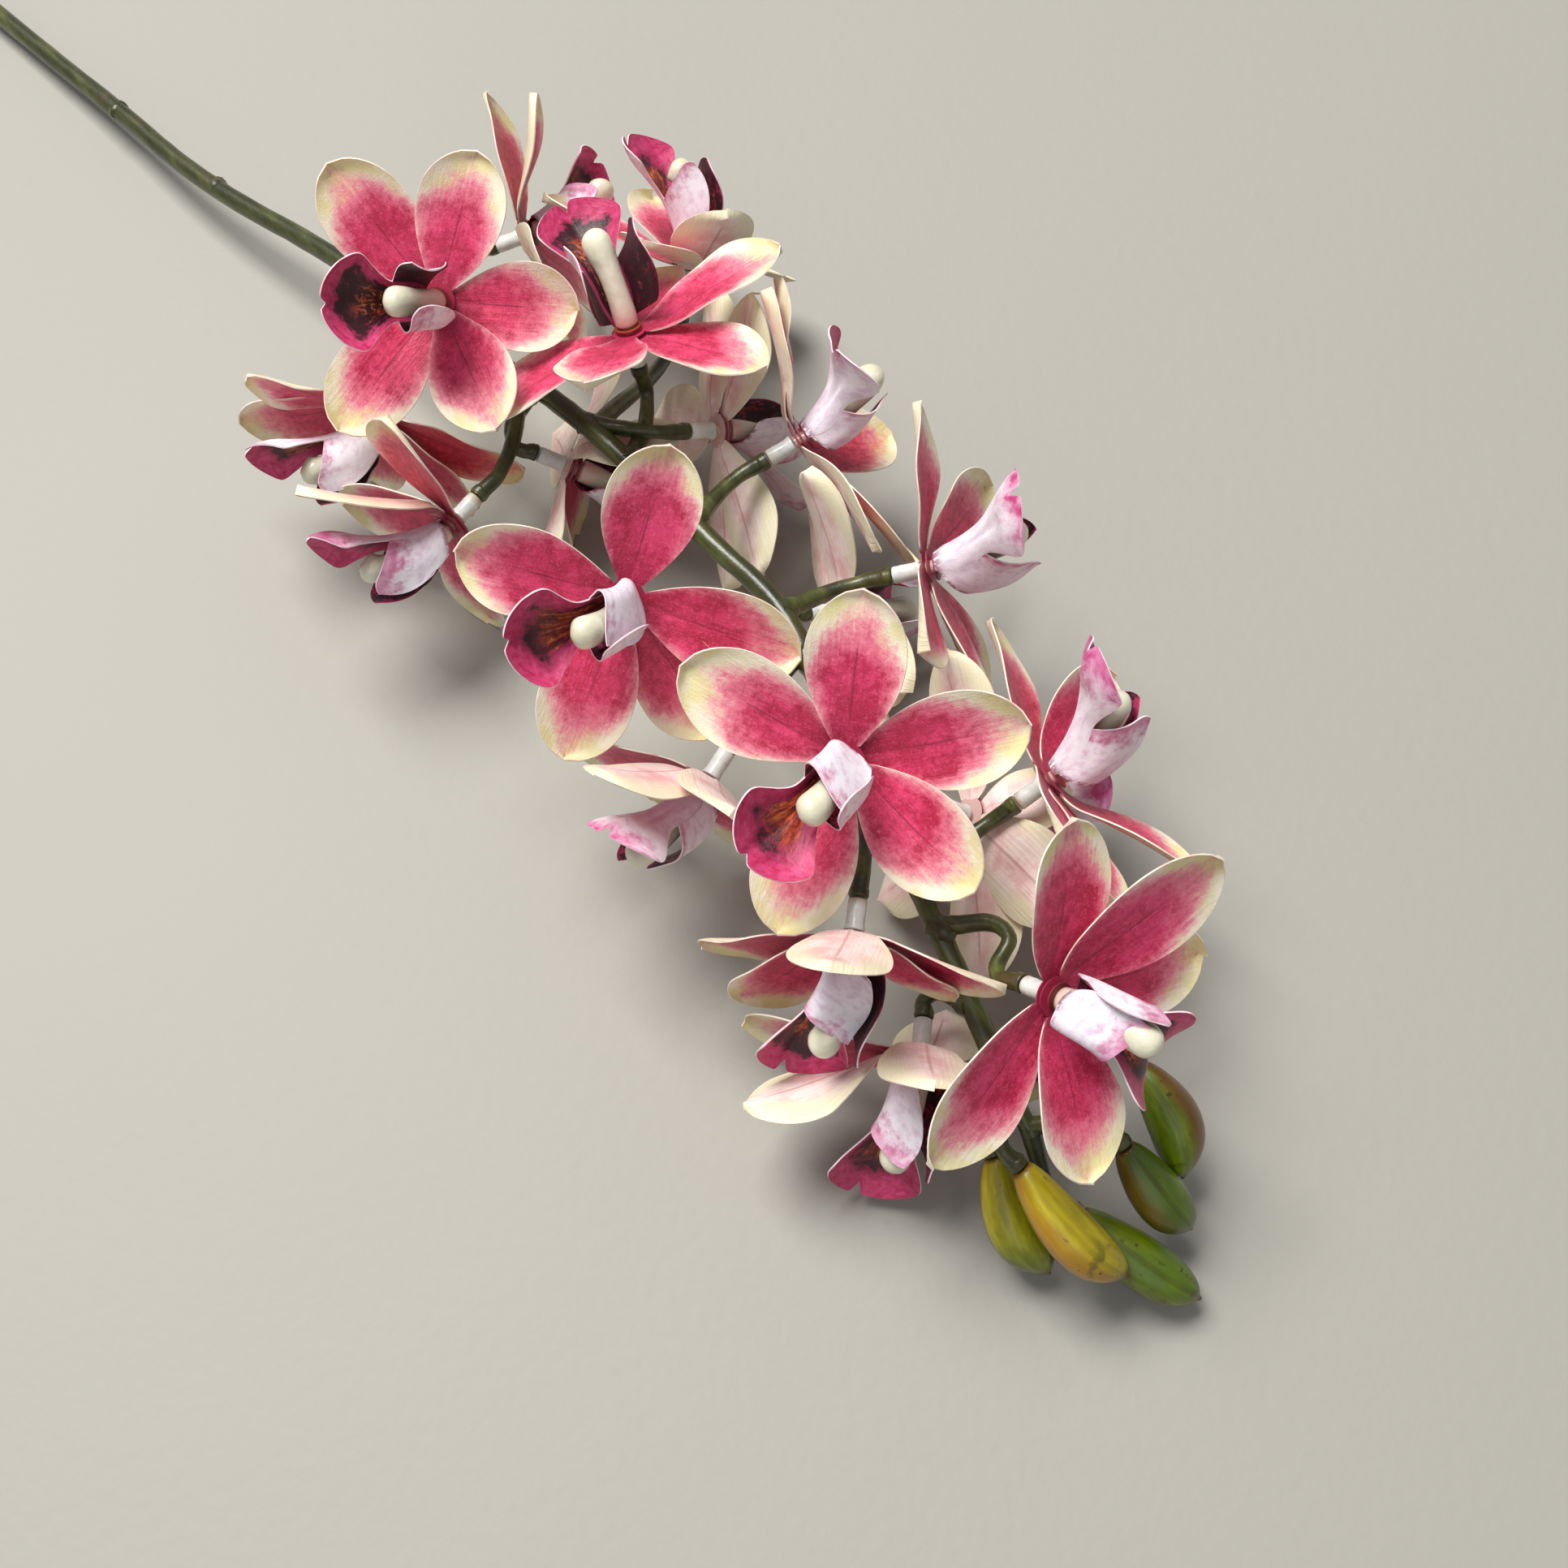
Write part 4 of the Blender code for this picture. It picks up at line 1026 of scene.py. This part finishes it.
def tepal_finishes():
    """Face, back and cut edge. The mark is the true distance across, so that grain isn't stretched."""
    face = Finish("tepal_face")
    t, side, wide = face.parts(face.carried("place"))
    margin, warm, seed = face.parts(face.carried("mood"))
    across = abs(side)
    where = face.vector(t * 31.0, wide * 9.5, seed * 90.0)
    patch = face.noise(where, 0.2, 3.0, 0.55)
    sponge = face.noise(where, 0.75, 5.0, 0.7)
    grains = face.noise(where, 2.4, 2.0, 0.7)
    streaks = face.noise(face.vector(t * 4.0, wide * 13.0, seed * 90.0), 1.0, 3.0, 0.6)
    tip_share = face.step(t, 0.36, 1.02)
    border = across ** 2.6 * (0.44 + 0.3 * t) + tip_share * 0.7 + margin * 0.34
    border = border + (patch - 0.5) * 0.5 + (sponge - 0.5) * 0.42
    border = border + (streaks - 0.5) * 0.3 + (grains - 0.5) * 0.2
    middle = face.step(border, 0.76, 0.34)
    blush = face.step(border, 1.02, 0.6)
    raspberry = face.mix(colour(178, 20, 64), colour(222, 56, 106),
                         face.step(patch * 0.5 + sponge * 0.5, 0.38, 0.62))
    scarlet = face.mix(colour(180, 28, 42), colour(214, 70, 78), face.step(sponge, 0.4, 0.62))
    heat = face.step(patch * 0.6 + warm * 0.7, 0.72, 1.05)
    red = face.mix(raspberry, scarlet, heat)
    rosy = face.step(t + 0.5 * (patch - 0.5), 0.45, 0.9) * (0.34 - 0.14 * heat)
    red = face.mix(red, colour(228, 98, 134), rosy)
    red = face.mix(red, colour(140, 20, 52), face.step(t, 0.26, 0.04) * 0.5)
    cream = face.mix(colour(243, 233, 208), colour(230, 219, 162),
                     face.step(patch + tip_share * 0.35, 0.62, 0.95))
    peach = face.mix(colour(232, 112, 142), colour(226, 116, 98), heat)
    base = face.mix(cream, peach, blush * 0.9)
    base = face.mix(base, red, middle)
    base = face.mix(base, colour(246, 170, 186), face.step(grains, 0.52, 0.8) * 0.3 * middle)
    veins = face.step(streaks, 0.52, 0.7) * face.step(across, 0.7, 0.1) * 0.45 * middle
    base = face.mix(base, colour(142, 12, 50), veins)
    line = face.step(across, 0.03, 0.01) * face.step(t, 0.1, 0.2) * face.step(t + streaks * 0.5, 0.92, 0.74)
    base = face.mix(base, colour(120, 18, 40), line * 0.6)
    face_material = face.wear(Base_Color=base, Roughness=0.4 + 0.16 * patch, Sheen_Weight=0.05,
                              Normal=face.relief(grains * 0.45 + streaks * 0.55, 0.00022))
    back = Finish("tepal_back")
    t, side, wide = back.parts(back.carried("place"))
    margin, warm, seed = back.parts(back.carried("mood"))
    across = abs(side)
    where = back.vector(t * 31.0, wide * 9.5, seed * 90.0)
    patch = back.noise(where, 0.16, 4.0, 0.6)
    grains = back.noise(where, 2.4, 2.0, 0.7)
    veins = back.noise(back.vector(t * 2.6, wide * 17.0, seed * 30.0), 1.0, 2.0, 0.5)
    pink = back.mix(colour(250, 228, 222), colour(236, 182, 182), back.step(patch, 0.4, 0.7))
    tan = back.mix(colour(240, 208, 182), colour(214, 154, 124), back.step(patch, 0.38, 0.68))
    body = back.mix(pink, tan, back.step(warm, 0.45, 0.8))
    cream = back.mix(colour(244, 236, 212), colour(230, 222, 180), patch)
    rim = across * 0.8 + 0.6 * t + margin * 0.3 + (patch - 0.5) * 0.5 + (veins - 0.5) * 0.2
    base = back.mix(body, cream, back.step(rim, 0.72, 1.25))
    base = back.mix(base, colour(204, 142, 136), back.step(veins, 0.6, 0.74) * 0.2)
    line = back.step(across, 0.05, 0.015) * back.step(t, 0.94, 0.75)
    base = back.mix(base, colour(180, 116, 106), line * 0.5)
    back_material = back.wear(Base_Color=base, Roughness=0.5, Sheen_Weight=0.06,
                              Normal=back.relief(grains * 0.3 + veins * 0.7, 0.00025))
    return face_material, back_material, edge_finish("tepal_cut_edge", colour(242, 232, 214))


def tepals_object(letter, outer, inner):
    """A bloom's five tepals and the two discs at their heart, seated in the CAD solid."""
    corners = node_corners("bloom_%s_tepals" % letter)
    bloom = random.Random("tepals " + letter)
    cream, warmth = TEPAL_MOODS[letter]
    grids, discs = [], []
    for layer, tepals in ((0, outer), (1, inner)):
        height = INNER_LAYER * layer
        tone = (0.3, warmth, bloom.random())
        discs.append((matrices[letter] @ Matrix.Translation((0, 0, height)), TEPAL_HEART, tone))
        for direction, length, lean in tepals:
            tepal = Tepal(matrices[letter], direction, length * MM, lean, height)
            tepal.seat(corners)
            turn, forward = TEPAL_POSES.get((letter, direction), (0, 0))
            tepal.lean += forward
            chance = {"waves": bloom.uniform(0.8, 1.7), "phase": bloom.uniform(0, math.tau),
                      "ruffle": bloom.uniform(0.25, 0.65), "twist": bloom.uniform(-0.6, 0.6),
                      "turn": turn}
            tone = (0.7 * cream + 0.3 * bloom.random(), 0.7 * warmth + 0.3 * bloom.random(), bloom.random())

            def rule(t, side, tepal=tepal, chance=chance):
                return tepal_point(tepal, t, side, chance)

            grids.append((TEPAL_ROWS, TEPAL_COLUMNS, rule, tone))
    return fabric_object("bloom_%s_tepal_sheets" % letter, grids, discs)


tepal_paints = tepal_finishes()
for letter, values in BLOOMS.items():
    made = tepals_object(letter, values[4], values[5])
    piece(made, "bloom_%s_tepals" % letter, "tepal_fabric", *tepal_paints)

# The spike lies on a table top, which isn't part of it: one plain matt sheet in pale grey, with a faint
# drift in its tone.
FLOOR_SIZE = 6.0


def floor_finish():
    paint = Finish("table_top")
    where = paint.node("TexCoord", {}, {}, "Object")
    drift = paint.noise(where, 2.5, 3.0)
    base = paint.mix(colour(158, 156, 147), colour(167, 164, 155), drift)
    grain = paint.noise(where, 300.0)
    return paint.wear(Base_Color=base, Roughness=0.6, Normal=paint.relief(grain, 0.0001))


bpy.ops.mesh.primitive_plane_add(size=FLOOR_SIZE)
floor = bpy.context.object
floor.name = "table_top"
floor.data.materials.append(floor_finish())

# The camera looks down on the spike from beside it, and the studio light is a broad soft one from the
# stem's side with a pale room round it.
CAMERA_AZIMUTH = math.radians(53)
CAMERA_ELEVATION = math.radians(64)
CAMERA_DISTANCE = 0.420
CAMERA_LENS = 43.2
CAMERA_SENSOR = 36
CAMERA_NEAR = 0.01
toward = Vector((math.sin(CAMERA_AZIMUTH), -math.cos(CAMERA_AZIMUTH), 0))
right = Vector((0, 0, 1)).cross(toward)
back = toward * math.cos(CAMERA_ELEVATION) + Vector((0, 0, 1)) * math.sin(CAMERA_ELEVATION)
camera = bpy.data.objects.new("camera", bpy.data.cameras.new("camera"))
bpy.context.scene.collection.objects.link(camera)
view = Matrix((right, back.cross(right), back)).transposed().to_4x4()
view.translation = TABLE_POINT + back * CAMERA_DISTANCE
camera.matrix_world = view
camera.data.sensor_width = CAMERA_SENSOR
camera.data.lens = CAMERA_LENS
camera.data.clip_start = CAMERA_NEAR
bpy.context.scene.camera = camera


def soft_light(name, place, size, power, tint):
    """Square area light that points at the spike."""
    light = bpy.data.lights.new(name, "AREA")
    light.size, light.energy, light.color = size, power, tint
    ob = bpy.data.objects.new(name, light)
    bpy.context.scene.collection.objects.link(ob)
    ob.location = TABLE_POINT + Vector(place)
    ob.rotation_euler = (-Vector(place)).to_track_quat("-Z", "Y").to_euler()


soft_light("window", place=(-1.05, -0.15, 2.2), size=1.2, power=80.0, tint=(1.0, 0.985, 0.96))
soft_light("fill", place=(1.2, -0.9, 1.5), size=1.8, power=6.0, tint=(0.95, 0.97, 1.0))
world = bpy.data.worlds.new("room")
bpy.context.scene.world = world
world.use_nodes = True
walls = world.node_tree.nodes["Background"].inputs
walls["Color"].default_value = (0.93, 0.95, 1.0, 1)
walls["Strength"].default_value = 0.29
bpy.context.scene.view_settings.view_transform = "Standard"
